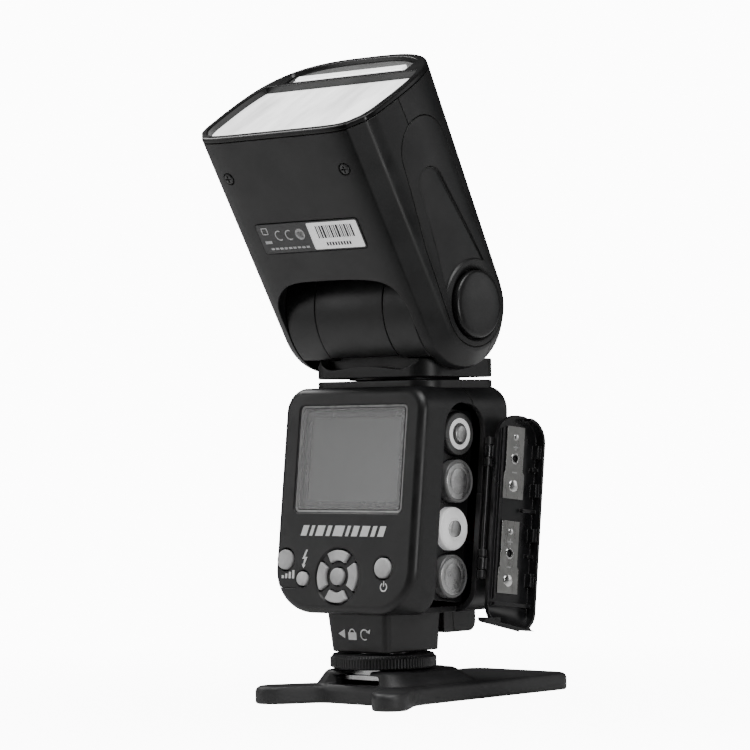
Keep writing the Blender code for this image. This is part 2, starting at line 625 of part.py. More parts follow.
# ---------------------------------------------------------------- head
def superellipse(a, b, power, steps):
    """Half outline from (a, 0) over (0, b) to (-a, 0)."""
    out = []
    for i in range(steps + 1):
        ang = math.pi * i / steps
        c, s = math.cos(ang), math.sin(ang)
        out.append((math.copysign(a * abs(c) ** (2 / power), c), b * abs(s) ** (2 / power)))
    out[0], out[steps // 2], out[-1] = (a, 0.0), (0.0, b), (-a, 0.0)
    return out


STEPS = 24


BEVEL = (0.755, 0.655, 37.75 * MM)        # direction and reach of the bevelled corners


def label_half(inset):
    """Flat face with bevelled corners; the flanks lean in a little towards it."""
    a, b = HEAD_HALF_W - inset, HEAD_R - inset
    out = []
    for x, v in superellipse(a, b, 9.0, STEPS):
        x *= 1 - 0.11 * (v / b) ** 3
        back = min(1.0, (BEVEL[2] - inset) / (BEVEL[0] * abs(x) + BEVEL[1] * v))
        out.append((x * back, v * back))
    return out


def back_half(inset, w):
    t = max(0.0, min(1.0, w / HEAD_TOP))
    far = superellipse(HEAD_HALF_W - inset, HEAD_BACK - inset, 3.1, STEPS)
    return [((1 - t) * p[0] + t * q[0], (1 - t) * p[1] + t * q[1])
            for p, q in zip(label_half(inset), far)]


def head_section(inset, w):
    """Whole outline across the head at height w: label side then back."""
    return ([(x, -v) for x, v in label_half(inset)]
            + [(x, v) for x, v in back_half(inset, w)][::-1][1:-1])


def clip(outline, limit, keep_below):
    """Part of an outline on one side of a line of constant v."""
    out = []
    sign = 1 if keep_below else -1
    for i, (x0, v0) in enumerate(outline):
        x1, v1 = outline[(i + 1) % len(outline)]
        if sign * (limit - v0) >= 0:
            out.append((x0, v0))
        if (v0 - limit) * (v1 - limit) < 0:
            t = (limit - v0) / (v1 - v0)
            out.append((x0 + t * (x1 - x0), limit))
    return out


def head_outer():
    """Sweep the section down the label side, round the hinge and up the back."""
    strips = [[(x, -v, w * HEAD_TOP) for x, v in label_half(0)] for w in (1.0, 0.66, 0.33)]
    for k in range(13):
        ang = math.radians(15 * k)
        strips.append([(x, -v * math.cos(ang), -v * math.sin(ang))
                       for x, v in label_half(0)])
    strips += [[(x, v, w * HEAD_TOP) for x, v in back_half(0, w * HEAD_TOP)]
               for w in (0.33, 0.66, 1.0)]
    width = STEPS + 1
    verts = [p for strip in strips for p in strip]
    faces = []
    for r in range(len(strips) - 1):
        for i in range(STEPS):
            quad = (r * width + i, r * width + i + 1, (r + 1) * width + i + 1,
                    (r + 1) * width + i)
            faces.append(quad)
    last = (len(strips) - 1) * width
    faces.append(list(range(width)) + list(range(last + STEPS - 1, last, -1)))
    return verts, tidy_faces(verts, faces)


def tidy_faces(verts, faces):
    """Drop corners of a face that land on one point."""
    out = []
    for face in faces:
        keep = []
        for index in face:
            point = Vector(verts[index])
            if all((point - Vector(verts[k])).length > 1e-7 for k in keep):
                keep.append(index)
        if len(keep) > 2:
            out.append(keep)
    return out


def fork_outline():
    r = 9 * MM
    return ([(-FORK_HALF, -40 * MM), (FORK_HALF, -40 * MM)]
            + arc(FORK_HALF - r, FORK_TOP - r, r, r, 0, 90, 6)
            + arc(r - FORK_HALF, FORK_TOP - r, r, r, 90, 180, 6))


def cover_outline(grow):
    r = 13.9 * MM + grow
    top = 12.3 * MM + grow
    return (arc(0, 0, r, r, 180, 360, 14) + arc(4.0 * MM, 54 * MM, top, top, 0, 180, 12)
            + [(-12.3 * MM - grow, 28 * MM)])


def recess_outline():
    return (arc(0.6 * MM, 44.3 * MM, 5.6 * MM, 5.6 * MM, 0, 180, 8)
            + arc(0, 0, 15.2 * MM, 15.2 * MM, 138, 42, 8))


def build_head_shells(mats):
    cavity = [[(x, v, w) for x, v in head_section(1.8 * MM, w)] for w in (25.5 * MM, 82 * MM)]
    for ring in cavity:
        for i, (x, v, w) in enumerate(ring):
            ring[i] = (max(-32.3 * MM, min(32.3 * MM, x)), v, w)
    cuts = [
        make("head_cavity_cut", *loft(cavity), frame=HEAD),
        make("head_mouth_cut", *loft([[(x, v, w) for x, v in head_section(1.1 * MM, HEAD_TOP)]
                                      for w in (67.6 * MM, 82 * MM)]), frame=HEAD),
        make("head_fork_cut", *prism(fork_outline(), -60 * MM, 60 * MM, 1), frame=HEAD),
        make("head_barrel_cut", *box(0.03 * MM - FORK_HALF, FORK_HALF - 0.03 * MM, -18.5 * MM,
                                     18.5 * MM, -40 * MM, FORK_TOP - 0.6 * MM), frame=HEAD),
        make("head_slot_cut", *box(-24.8 * MM, 24.8 * MM, 16 * MM, 24.4 * MM, 41 * MM,
                                   82 * MM), frame=HEAD),
        make("head_shaft_cut", *rod(SHAFT_R + 0.08 * MM, -50 * MM, 50 * MM, (0, 0), 0, 48),
             frame=HEAD),
        make("cover_pocket_cut_r", *prism(cover_outline(GAP), COVER_X - GAP, 45 * MM, 0),
             frame=HEAD),
        make("cover_pocket_cut_l", *prism(cover_outline(GAP), -45 * MM, GAP - COVER_X, 0),
             frame=HEAD),
    ]
    for name, v0, v1 in (("head_lower_shell", 0.35, 60), ("head_upper_shell", -60, 0.65)):
        shell = make(name, *head_outer(), mats["shell"], HEAD, origin=TILT)
        modify(shell, cuts)
        modify(shell, [make(name + "_seam_cut", *box(-60 * MM, 60 * MM, v0 * MM, v1 * MM,
                                                     -60 * MM, 120 * MM), frame=HEAD)])
        if name == "head_lower_shell":
            modify(shell, label_cutters())
    for side, name in ((1, "side_cover_right"), (-1, "side_cover_left")):
        lo, hi = sorted((side * COVER_X, side * 45 * MM))
        cover = make(name, *head_outer(), mats["shell"], HEAD, origin=TILT)
        modify(cover, [make(name + "_keep", *prism(cover_outline(0), lo, hi, 0),
                            frame=HEAD)], "INTERSECT")
        lo, hi = sorted((side * 37.2 * MM, side * 45 * MM))
        ring = [(11.6 * MM, side * 30 * MM), (11.6 * MM, side * 37.0 * MM),
                (14.0 * MM, side * 38.4 * MM), (14.0 * MM, side * 45 * MM)]
        modify(cover, [
            make(name + "_recess_cut", *prism(recess_outline(), lo, hi, 0), frame=HEAD),
            make(name + "_ring_cut", *lathe(ring, (0, 0), 0, 40), frame=HEAD)])
        prof = [(11.2, 36.9), (11.2, 38.6), (10.6, 39.2), (9.0, 39.5), (0.05, 39.8)]
        make(name.replace("side_cover", "hinge_cap"),
             *lathe([(r * MM, side * x * MM) for r, x in prof], (0, 0), 0, 36),
             mats["cap"], HEAD, origin=TILT, smooth=True)


LABEL = (-22.7 * MM, 22.7 * MM, 34.3 * MM, 45.1 * MM)


def label_cutters():
    x0, x1, w0, w1 = LABEL
    cuts = [make("label_pocket_cut", *prism(rounded(x0 - GAP, x1 + GAP, w0 - GAP, w1 + GAP,
                                                    1.3 * MM, 3), -30 * MM, -21.7 * MM, 1),
                 frame=HEAD)]
    for side in (1, -1):
        cuts.append(make("screw_seat_cut_%d" % (side > 0),
                         *rod(2.2 * MM, -30 * MM, -21.0 * MM, (side * 26 * MM, 62.6 * MM), 1,
                              24), frame=HEAD))
    return cuts


def build_head_details(mats):
    x0, x1, w0, w1 = LABEL
    make("rating_label", *prism(rounded(x0, x1, w0, w1, 1 * MM, 3), -22.3 * MM, -22.0 * MM,
                                1), mats["label"], HEAD)
    for side, name in ((1, "head_screw_right"), (-1, "head_screw_left")):
        centre = (side * 26 * MM, 62.6 * MM)
        screw = make(name, *lathe([(1.5 * MM, -22.15 * MM), (1.85 * MM, -21.9 * MM),
                                   (1.85 * MM, -21.3 * MM)], centre, 1, 20),
                     mats["screw"], HEAD)
        for k, (a, b) in enumerate(((1.2, 0.25), (0.25, 1.2))):
            modify(screw, [make(name + "_slot_cut_%d" % k,
                                *box(centre[0] - a * MM, centre[0] + a * MM, -24 * MM,
                                     -21.75 * MM, centre[1] - b * MM, centre[1] + b * MM),
                                frame=HEAD)])


def slot_outline(inset, low):
    """The part of the rim's opening behind the lens, with straight ends."""
    half = 27.5 * MM
    back = [(max(-half, min(half, x)), v) for x, v in back_half(inset, HEAD_TOP) if v > low]
    return [(half, low)] + back + [(-half, low)]


def build_lens_end(mats):
    top = HEAD_TOP
    bezel = make("lens_bezel", *loft(
        [[(x, v, 69.1 * MM) for x, v in head_section(1.4 * MM, top)],
         [(x, v, top + GAP) for x, v in head_section(1.4 * MM, top)],
         [(x, v, top + GAP) for x, v in head_section(0, top)],
         [(x, v, RIM_TOP - 0.3 * MM) for x, v in head_section(0, top)],
         [(x, v, RIM_TOP) for x, v in head_section(0.4 * MM, top)]]), mats["bezel"], HEAD)
    opening = clip(head_section(2.3 * MM, top), 17.4 * MM, True)
    modify(bezel, [
        make("lens_opening_cut", *prism(opening, 60 * MM, 90 * MM), frame=HEAD),
        make("slot_opening_cut", *prism(slot_outline(3.2 * MM, 18.9 * MM), 60 * MM, 90 * MM),
             frame=HEAD)])
    lens = clip(head_section(2.6 * MM, top), 17.1 * MM, True)
    make("front_lens", *prism(lens, 73.8 * MM, 75.2 * MM), mats["lens"], HEAD)
    for name, v0, v1, lip_v, high, mat in (
            ("wide_panel", 19.7, 20.9, 21.7, 76.8, "wide"),
            ("bounce_card", 22.2, 23.2, 24.8, 77.1, "card")):
        panel = make(name, *box(-24.2 * MM, 24.2 * MM, v0 * MM, v1 * MM, 41.5 * MM,
                                high * MM), mats[mat], HEAD)
        lip = make(name + "_lip_add", *box(-24.2 * MM, 24.2 * MM, v0 * MM, lip_v * MM,
                                           (high - 1.2) * MM, high * MM), frame=HEAD)
        modify(panel, [lip], "UNION")


def build_lamp(mats):
    def bowl(depth, half, low):
        return [(half * (i / 6 - 1), low + depth * (i / 6 - 1) ** 2) for i in range(13)]
    outer = bowl(19.2 * MM, 16.6 * MM, 41.6 * MM)
    inner = bowl(19.2 * MM, 15.8 * MM, 42.5 * MM)
    inner = [(v, min(w, 60.8 * MM)) for v, w in inner]
    outline = outer + inner[::-1]
    make("reflector", *prism(outline, -21.5 * MM, 21.5 * MM, 0), mats["reflector"], HEAD)
    make("flash_tube", *lathe([(1.2 * MM, -21 * MM), (1.9 * MM, -19.5 * MM),
                               (1.9 * MM, 19.5 * MM), (1.2 * MM, 21 * MM)], (0, 46.5 * MM),
                              0, 20), mats["tube"], HEAD, smooth=True)
    carriage = make("zoom_carriage", *box(-31 * MM, 31 * MM, -6 * MM, 6 * MM, 37.2 * MM,
                                          41.2 * MM), mats["cage"], HEAD)
    modify(carriage, [
        make("carriage_screw_cut", *rod(1.58 * MM, 30 * MM, 50 * MM, (26.5 * MM, 0), seg=20),
             frame=HEAD),
        make("carriage_rod_cut", *rod(1.28 * MM, 30 * MM, 50 * MM, (-28.5 * MM, 0), seg=20),
             frame=HEAD)])
    make("lead_screw", *rod(1.5 * MM, 34 * MM, 70 * MM, (26.5 * MM, 0), seg=20),
         mats["steel"], HEAD, origin=HEAD @ Vector((26.5 * MM, 0, 34 * MM)))
    make("guide_rod", *rod(1.2 * MM, 26.5 * MM, 70 * MM, (-28.5 * MM, 0), seg=16),
         mats["steel"], HEAD)
    make("zoom_motor", *rod(5.2 * MM, 26.0 * MM, 33.7 * MM, (26.5 * MM, 0), seg=28),
         mats["steel"], HEAD)


def main():
    clear_scene()
    black = (0.022, 0.022, 0.023)
    mats = {
        "shell": material("shell_plastic", black, 0.55),
        "cap": material("cap_plastic", (0.026, 0.026, 0.027), 0.5),
        "bezel": material("bezel_plastic", (0.018, 0.018, 0.018), 0.4),
        "stand": material("stand_plastic", (0.03, 0.03, 0.03), 0.6),
        "ring": material("ring_plastic", (0.02, 0.02, 0.02), 0.5),
        "cage": material("cage_plastic", (0.012, 0.012, 0.012), 0.6),
        "steel": material("bright_steel", (0.62, 0.62, 0.62), 0.3, 1.0),
        "brass": material("brass", (0.62, 0.48, 0.22), 0.35, 1.0),
        "gold": material("contact_carrier", (0.05, 0.05, 0.05), 0.5),
        "contact": material("contact_metal", (0.7, 0.7, 0.7), 0.25, 1.0),
        "trim": material("rim_trim", (0.6, 0.6, 0.6), 0.3, 0.0),
        "window": material("window_clear", (0.3, 0.31, 0.31), 0.1, 0.0, 0.35),
        "display": material("display_grey", (0.24, 0.25, 0.25), 0.35),
        "board": material("board_green", (0.03, 0.12, 0.06), 0.5),
        "key": material("key_rubber", (0.33, 0.33, 0.33), 0.6),
        "capacitor": material("capacitor_sleeve", (0.02, 0.02, 0.03), 0.35),
        "sensor": material("sensor_red", (0.09, 0.004, 0.004), 0.12),
        "label": material("label_foil", (0.18, 0.18, 0.18), 0.4),
        "screw": material("screw_black", (0.06, 0.06, 0.06), 0.35, 1.0),
        "lens": material("lens_clear", (0.85, 0.85, 0.84), 0.25, 0.0, 0.8),
        "wide": material("wide_panel_clear", (0.9, 0.9, 0.9), 0.2, 0.0, 0.6),
        "card": material("card_white", (0.9, 0.9, 0.9), 0.5),
        "reflector": material("reflector_metal", (0.9, 0.9, 0.9), 0.1, 1.0),
        "tube": material("tube_glass", (0.95, 0.95, 0.95), 0.05, 0.0, 0.5),
    }
    for i, tone in enumerate((0.16, 0.3, 0.75, 0.3)):
        mats["cell_%d" % (i + 1)] = material("cell_sleeve_%d" % (i + 1), (tone,) * 3, 0.35)
    build_stand(mats["stand"], mats["brass"])
    build_foot(mats["steel"], mats["shell"], mats["gold"])
    build_ring(mats["ring"])
    build_shells(mats["shell"])
    build_panel_parts(mats)
    build_cells(mats)
    build_door(mats)
    build_neck(mats)
    build_head_shells(mats)
    build_head_details(mats)
    build_lens_end(mats)
    build_lamp(mats)


main()
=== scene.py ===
"""Close-up model of a speedlight flash on its table stand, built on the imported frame.

Lengths in this file are millimetres until a mesh is made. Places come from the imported
solids, measured in the frame of the piece they belong to.
"""
import json
import math

import bmesh
import bpy
from mathutils import Matrix, Vector


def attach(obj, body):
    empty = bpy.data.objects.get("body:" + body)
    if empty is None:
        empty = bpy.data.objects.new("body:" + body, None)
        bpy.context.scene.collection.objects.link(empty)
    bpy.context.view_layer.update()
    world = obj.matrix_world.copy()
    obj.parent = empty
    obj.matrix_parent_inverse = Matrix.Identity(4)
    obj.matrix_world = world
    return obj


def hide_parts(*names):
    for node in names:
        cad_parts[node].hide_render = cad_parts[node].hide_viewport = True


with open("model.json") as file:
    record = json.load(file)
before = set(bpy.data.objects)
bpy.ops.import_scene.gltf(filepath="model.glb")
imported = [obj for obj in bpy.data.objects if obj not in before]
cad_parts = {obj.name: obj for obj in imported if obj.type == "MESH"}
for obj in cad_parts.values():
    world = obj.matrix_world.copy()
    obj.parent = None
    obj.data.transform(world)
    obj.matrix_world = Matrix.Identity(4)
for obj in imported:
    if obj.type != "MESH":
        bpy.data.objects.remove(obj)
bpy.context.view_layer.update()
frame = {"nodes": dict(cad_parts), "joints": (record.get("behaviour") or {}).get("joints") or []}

MM = 0.001
GAP = 0.3                # between neighbouring parts
BODY = "flash_body"
HEAD_STEPS = 96          # points along half of the head's outline
BLACK = (0.006, 0.006, 0.0063)


# ---- frames
JOINT = {j["name"]: j for j in frame["joints"]}
WORLD = Matrix.Identity(4)


def axis_of(joint):
    return Vector(JOINT[joint]["axis"]).normalized()


def point_of(joint):
    return Vector(JOINT[joint]["pos_m"]) * 1000


def frame_at(origin, ax, ay, az):
    return Matrix.Translation(origin) @ Matrix((ax, ay, az)).transposed().to_4x4()


def span(node, place=WORLD):
    """Lowest and highest corner of a CAD node in a frame, in mm."""
    inverse = place.inverted()
    points = [inverse @ (v.co * 1000) for v in frame["nodes"][node].data.vertices]
    return (Vector([min(p[i] for p in points) for i in range(3)]),
            Vector([max(p[i] for p in points) for i in range(3)]))


def middle(node, place=WORLD):
    lo, hi = span(node, place)
    return (lo + hi) / 2


X = Vector((1, 0, 0))
UP, FWD, HEAD_W = axis_of("door_swing"), axis_of("key_set_press"), axis_of("zoom_travel")
HEAD_V = HEAD_W.cross(X)
HEAD = frame_at(point_of("head_tilt"), X, HEAD_V, HEAD_W)
cells_mid = (middle("cell_1") + middle("cell_4")) / 2
BAY = frame_at(Vector((0, cells_mid.y, cells_mid.z)), X, FWD, UP)
PANEL = frame_at(BAY @ Vector((0, span("rear_shell", BAY)[0].y, 0)), X, UP, -FWD)
HINGE = point_of("door_swing")
HINGE_X, HINGE_F, _ = BAY.inverted() @ HINGE
SWIVEL_Y = point_of("swivel_turn").y
TILT = point_of("head_tilt")
LEAN = UP.y / UP.z
DOOR_OPEN = -math.radians(JOINT["door_swing"]["range_deg"][0])
DOOR_SWING = (Matrix.Translation(HINGE) @ Matrix.Rotation(DOOR_OPEN, 4, UP)
              @ Matrix.Translation(-HINGE))


# ---- solids
def loft(rings, hollow=False):
    """Quads through rings of equal length: a solid, or hollow, the last joined to the first."""
    count = len(rings[0])
    if hollow:
        rings = rings + [rings[0]]
    verts = [p for ring in rings for p in ring]
    faces = [] if hollow else [list(range(count))[::-1]]
    for r in range(len(rings) - 1):
        for i in range(count):
            j = (i + 1) % count
            faces.append((r * count + i, r * count + j,
                          (r + 1) * count + j, (r + 1) * count + i))
    if not hollow:
        faces.append(list(range(len(verts) - count, len(verts))))
    return verts, faces


def put(p, height, axis):
    point = list(p)
    point.insert(axis, height)
    return tuple(point)


def prism(outline, lo, hi, axis=2):
    return layers([(outline, lo), (outline, hi)], axis)


def prisms(outlines, lo, hi, axis=2):
    """Several prisms as one geometry."""
    verts, faces = [], []
    for outline in outlines:
        v, f = prism(outline, lo, hi, axis)
        faces += [[i + len(verts) for i in face] for face in f]
        verts += v
    return verts, faces


def layers(levels, axis=2, hollow=False):
    """Solid or hollow ring through (outline, height) pairs along an axis."""
    return loft([[put(p, h, axis) for p in outline] for outline, h in levels], hollow)


def box(x0, x1, y0, y1, z0, z1):
    return prism([(x0, y0), (x1, y0), (x1, y1), (x0, y1)], z0, z1)


def circle(radius, center=(0, 0), seg=64):
    return [(center[0] + radius * math.cos(2 * math.pi * i / seg),
             center[1] + radius * math.sin(2 * math.pi * i / seg)) for i in range(seg)]


def lathe(profile, center=(0, 0), axis=2, seg=64, hollow=False):
    """Turn (radius, height) points about an axis."""
    return layers([(circle(radius, center, seg), height) for radius, height in profile],
                  axis, hollow)


def rod(radius, lo, hi, center=(0, 0), axis=2, seg=64):
    return lathe([(radius, lo), (radius, hi)], center, axis, seg)


def arc(cx, cy, rx, ry, start, end, steps):
    angles = [math.radians(start + (end - start) * i / steps) for i in range(steps + 1)]
    return [(cx + rx * math.cos(a), cy + ry * math.sin(a)) for a in angles]


def rounded(x0, x1, y0, y1, r, steps=8):
    out = []
    for cx, cy, start in ((x1 - r, y1 - r, 0), (x0 + r, y1 - r, 90),
                          (x0 + r, y0 + r, 180), (x1 - r, y0 + r, 270)):
        out += arc(cx, cy, r, r, start, start + 90, steps)
    return out


def around(lo, hi, grow, r, other=1, steps=8):
    """Rounded outline of a box, grown: x against y, or against z where other is 2."""
    return rounded(lo.x - grow, hi.x + grow, lo[other] - grow, hi[other] + grow, r, steps)


def smooth_line(points, steps=8):
    """Catmull-Rom curve through the points."""
    out = []
    ends = [points[0]] + list(points) + [points[-1]]
    for i in range(1, len(ends) - 2):
        p0, p1, p2, p3 = (Vector(ends[i + k]) for k in (-1, 0, 1, 2))
        for k in range(steps):
            t = k / steps
            out.append(tuple(0.5 * (2 * p1 + (p2 - p0) * t
                                    + (2 * p0 - 5 * p1 + 4 * p2 - p3) * t * t
                                    + (3 * p1 - p0 - 3 * p2 + p3) * t ** 3)))
    return out + [tuple(points[-1])]


def tube(path, radius, seg=8):
    """Round bead along a path that runs mostly in x."""
    return loft([[(x, y + radius * math.cos(2 * math.pi * k / seg),
                   z + radius * math.sin(2 * math.pi * k / seg)) for k in range(seg)]
                 for x, y, z in path])


def make(name, geometry, place=WORLD):
    """Mesh object from mm points in a frame, faces outwards."""
    verts, faces = geometry
    mesh = bpy.data.meshes.new(name)
    mesh.from_pydata([(place @ Vector(v)) * MM for v in verts], [], faces)
    bm = bmesh.new()
    bm.from_mesh(mesh)
    bmesh.ops.remove_doubles(bm, verts=bm.verts, dist=1e-7)
    bmesh.ops.recalc_face_normals(bm, faces=bm.faces)
    bm.to_mesh(mesh)
    bm.free()
    obj = bpy.data.objects.new(name, mesh)
    bpy.context.scene.collection.objects.link(obj)
    return obj


def bake(obj):
    """Apply what is on the stack."""
    graph = bpy.context.evaluated_depsgraph_get()
    graph.update()
    mesh = bpy.data.meshes.new_from_object(obj.evaluated_get(graph))
    obj.modifiers.clear()
    obj.data = mesh
    return obj


def combine(obj, tools, operation="DIFFERENCE", place=WORLD):
    """Cut or join solids given as geometry or as objects."""
    made = [t if isinstance(t, bpy.types.Object) else make("tool", t, place) for t in tools]
    for tool in made:
        mod = obj.modifiers.new("combine", "BOOLEAN")
        mod.operation, mod.solver, mod.object = operation, "EXACT", tool
    bake(obj)
    for tool in made:
        bpy.data.objects.remove(tool, do_unlink=True)
    return obj


def cut(obj, *tools, place=WORLD):
    return combine(obj, tools, "DIFFERENCE", place)


def join(obj, *tools, place=WORLD):
    return combine(obj, tools, "UNION", place)


def shade(obj, angle=32, bevel=0.0):
    """Smooth faces with crisp edges, or real rounded edges where bevel is given."""
    bm = bmesh.new()
    bm.from_mesh(obj.data)
    bmesh.ops.remove_doubles(bm, verts=bm.verts, dist=2e-6)
    if bevel:
        bmesh.ops.dissolve_limit(bm, angle_limit=math.radians(1.0), verts=bm.verts,
                                 edges=bm.edges)
    for face in bm.faces:
        face.smooth = True
    for edge in bm.edges:
        edge.smooth = bool(bevel) or edge.calc_face_angle(0) < math.radians(angle)
    bm.to_mesh(obj.data)
    bm.free()
    if bevel:
        mod = obj.modifiers.new("round", "BEVEL")
        mod.width, mod.segments = bevel * MM, 3
        mod.limit_method, mod.angle_limit = "ANGLE", math.radians(angle)
    normals = obj.modifiers.new("normals", "WEIGHTED_NORMAL")
    normals.keep_sharp = True


def finish(obj, mat, body, nodes=(), slot=None, **shading):
    """Shade it, paint it, and let it ride on its body in place of CAD nodes."""
    shade(obj, **shading)
    obj.data.materials.clear()
    obj.data.materials.append(MAT[mat])
    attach(obj, body)
    if nodes:
        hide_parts(*nodes)
    return obj


def twin(name, shape, mat, body, place=WORLD, slot=None, **shading):
    """Close-up piece, from geometry or a ready object, in place of the CAD node.

    The slot argument is not used.
    """
    ready = isinstance(shape, bpy.types.Object)
    obj = shape if ready else make(name + "_fine", shape, place)
    return finish(obj, mat, body, (name,), slot or mat, **shading)


def refine(name, mat, body, slot, bevel=0.15):
    """The CAD solid again, with its edges rounded."""
    obj = bpy.data.objects.new(name + "_fine", frame["nodes"][name].data.copy())
    bpy.context.scene.collection.objects.link(obj)
    return finish(obj, mat, body, (name,), slot, bevel=bevel, angle=30)


# ---- materials
def new_material(name):
    mat = bpy.data.materials.new(name)
    mat.use_nodes = True
    return mat, mat.node_tree, mat.node_tree.nodes["Principled BSDF"]


def plug(socket, value):
    """Link an output to a socket, or set the socket's own value."""
    if isinstance(value, bpy.types.NodeSocket):
        socket.id_data.links.new(value, socket)
    else:
        socket.default_value = value


def fill(made, **values):
    """Fill a shader node's sockets (_ stands for a space), or set its own fields."""
    for key, value in values.items():
        socket = made.inputs.get(key.replace("_", " "))
        if socket is None:
            setattr(made, key, value)
        else:
            plug(socket, value)
    return made


def node(tree, kind, **values):
    return fill(tree.nodes.new("ShaderNode" + kind), **values)


def noise(tree, scale, detail=2.0, rough=0.5, stretch=None):
    """Noise in object space, cycles per metre; stretch scales its axes."""
    coords = node(tree, "TexCoord").outputs["Object"]
    if stretch:
        coords = node(tree, "Mapping", Scale=stretch, Vector=coords).outputs["Vector"]
    return node(tree, "TexNoise", Scale=scale, Detail=detail, Roughness=rough,
                Vector=coords).outputs["Fac"]


def spread(tree, value, lo, hi, start=0.3, end=0.7):
    """A value's range from start to end, laid over lo to hi."""
    return node(tree, "MapRange", From_Min=start, From_Max=end, To_Min=lo, To_Max=hi,
                Value=value).outputs["Result"]


def tint(tree, value, dark, light):
    """Colour from dark to light as the value goes from 0 to 1."""
    return node(tree, "Mix", data_type="RGBA", A=(*dark, 1), B=(*light, 1),
                Factor=value).outputs["Result"]


def relief(tree, height, strength, distance, edge):
    """Normal with bumps from a height, over edges softened by edge mm."""
    soft = node(tree, "Bevel", Radius=edge * MM, samples=6).outputs["Normal"]
    return node(tree, "Bump", Strength=strength, Distance=distance * MM, Height=height,
                Normal=soft).outputs["Normal"]


def plastic(name, color, rough=0.5, grain=2600, depth=0.02, edge=0.4, strength=0.5,
            specular=0.5, glow=0.0):
    """Moulded plastic: spark-eroded grain, handled patches, soft edges. Glow is painted light: an
    emission on parts that are no lamp.
    """
    mat, tree, shader = new_material(name)
    patches = noise(tree, 90, 4, 0.6)
    light = [min(1.0, c * 1.35 + 0.002) for c in color]
    dark = [c * 0.75 for c in color]
    fill(shader, Specular_IOR_Level=specular, Emission_Color=(*color, 1), Emission_Strength=glow,
         Base_Color=tint(tree, spread(tree, patches, 0, 1), dark, light),
         Roughness=spread(tree, patches, rough - 0.06, rough + 0.06),
         Normal=relief(tree, noise(tree, grain, 3, 0.6), strength, depth, edge))
    return mat


def metal(name, color, rough=0.25, stretch=(60, 60, 2500)):
    """Brushed or drawn metal with fine lines and smudges."""
    mat, tree, shader = new_material(name)
    lines = noise(tree, 1.0, 4, 0.6, stretch)
    dark = [c * 0.78 for c in color]
    fill(shader, Metallic=1.0,
         Base_Color=tint(tree, spread(tree, noise(tree, 260, 3), 0, 1), dark, color),
         Roughness=spread(tree, lines, rough - 0.08, rough + 0.14),
         Normal=relief(tree, lines, 0.25, 0.01, 0.15))
    return mat


def lens_material():
    """Frosted plate: fine prisms across and milky streaks; its glow, streaked the same way, is
    painted light from within.
    """
    mat, tree, shader = new_material("lens_frosted")
    streaks = noise(tree, 1.0, 5, 0.6, (90, 22, 22))
    frost_and_glow = tint(tree, spread(tree, streaks, 0, 1), (0.5, 0.5, 0.5), (1, 1, 1))
    ribs = node(tree, "TexWave", Scale=560.0, Distortion=0.0, bands_direction="X",
                Vector=node(tree, "TexCoord").outputs["Object"])
    # the emission is painted light: the lens glows though the lamp is not lit
    fill(shader, Roughness=0.28, Coat_Weight=0.6, Coat_Roughness=0.08, Base_Color=frost_and_glow,
         Emission_Color=frost_and_glow, Emission_Strength=2.5,
         Normal=relief(tree, ribs.outputs["Fac"], 0.35, 0.05, 0.2))
    return mat


def clear_material(name, color, rough, alpha):
    """Thin clear cover with faint wipe marks."""
    mat, tree, shader = new_material(name)
    wipe = noise(tree, 1.0, 3, 0.6, (400, 60, 60))
    fill(shader, Alpha=alpha, Base_Color=tint(tree, wipe, [c * 0.97 for c in color], color),
         Roughness=spread(tree, wipe, rough, rough + 0.02))
    return mat


def display_material():
    """Unlit display: grey polariser with a painted sheen that makes it a little lighter towards
    its right.
    """
    mat, tree, shader = new_material("display_grey")
    split = node(tree, "SeparateXYZ", Vector=node(tree, "TexCoord").outputs["Generated"])
    fill(shader, Specular_IOR_Level=0.3,
         Base_Color=tint(tree, spread(tree, split.outputs["X"], 0, 1, 0, 1),
                         (0.115, 0.118, 0.118), (0.175, 0.178, 0.178)),
         Roughness=spread(tree, noise(tree, 5200, 2), 0.32, 0.36))
    return mat


def paint(name, color):
    """Pad-printed ink with a slightly uneven film."""
    mat, tree, shader = new_material(name)
    film = noise(tree, 1800, 3)
    fill(shader, Base_Color=tint(tree, film, [c * 0.9 for c in color], color),
         Roughness=spread(tree, film, 0.45, 0.6))
    return mat


def grey(value):
    return (value,) * 3


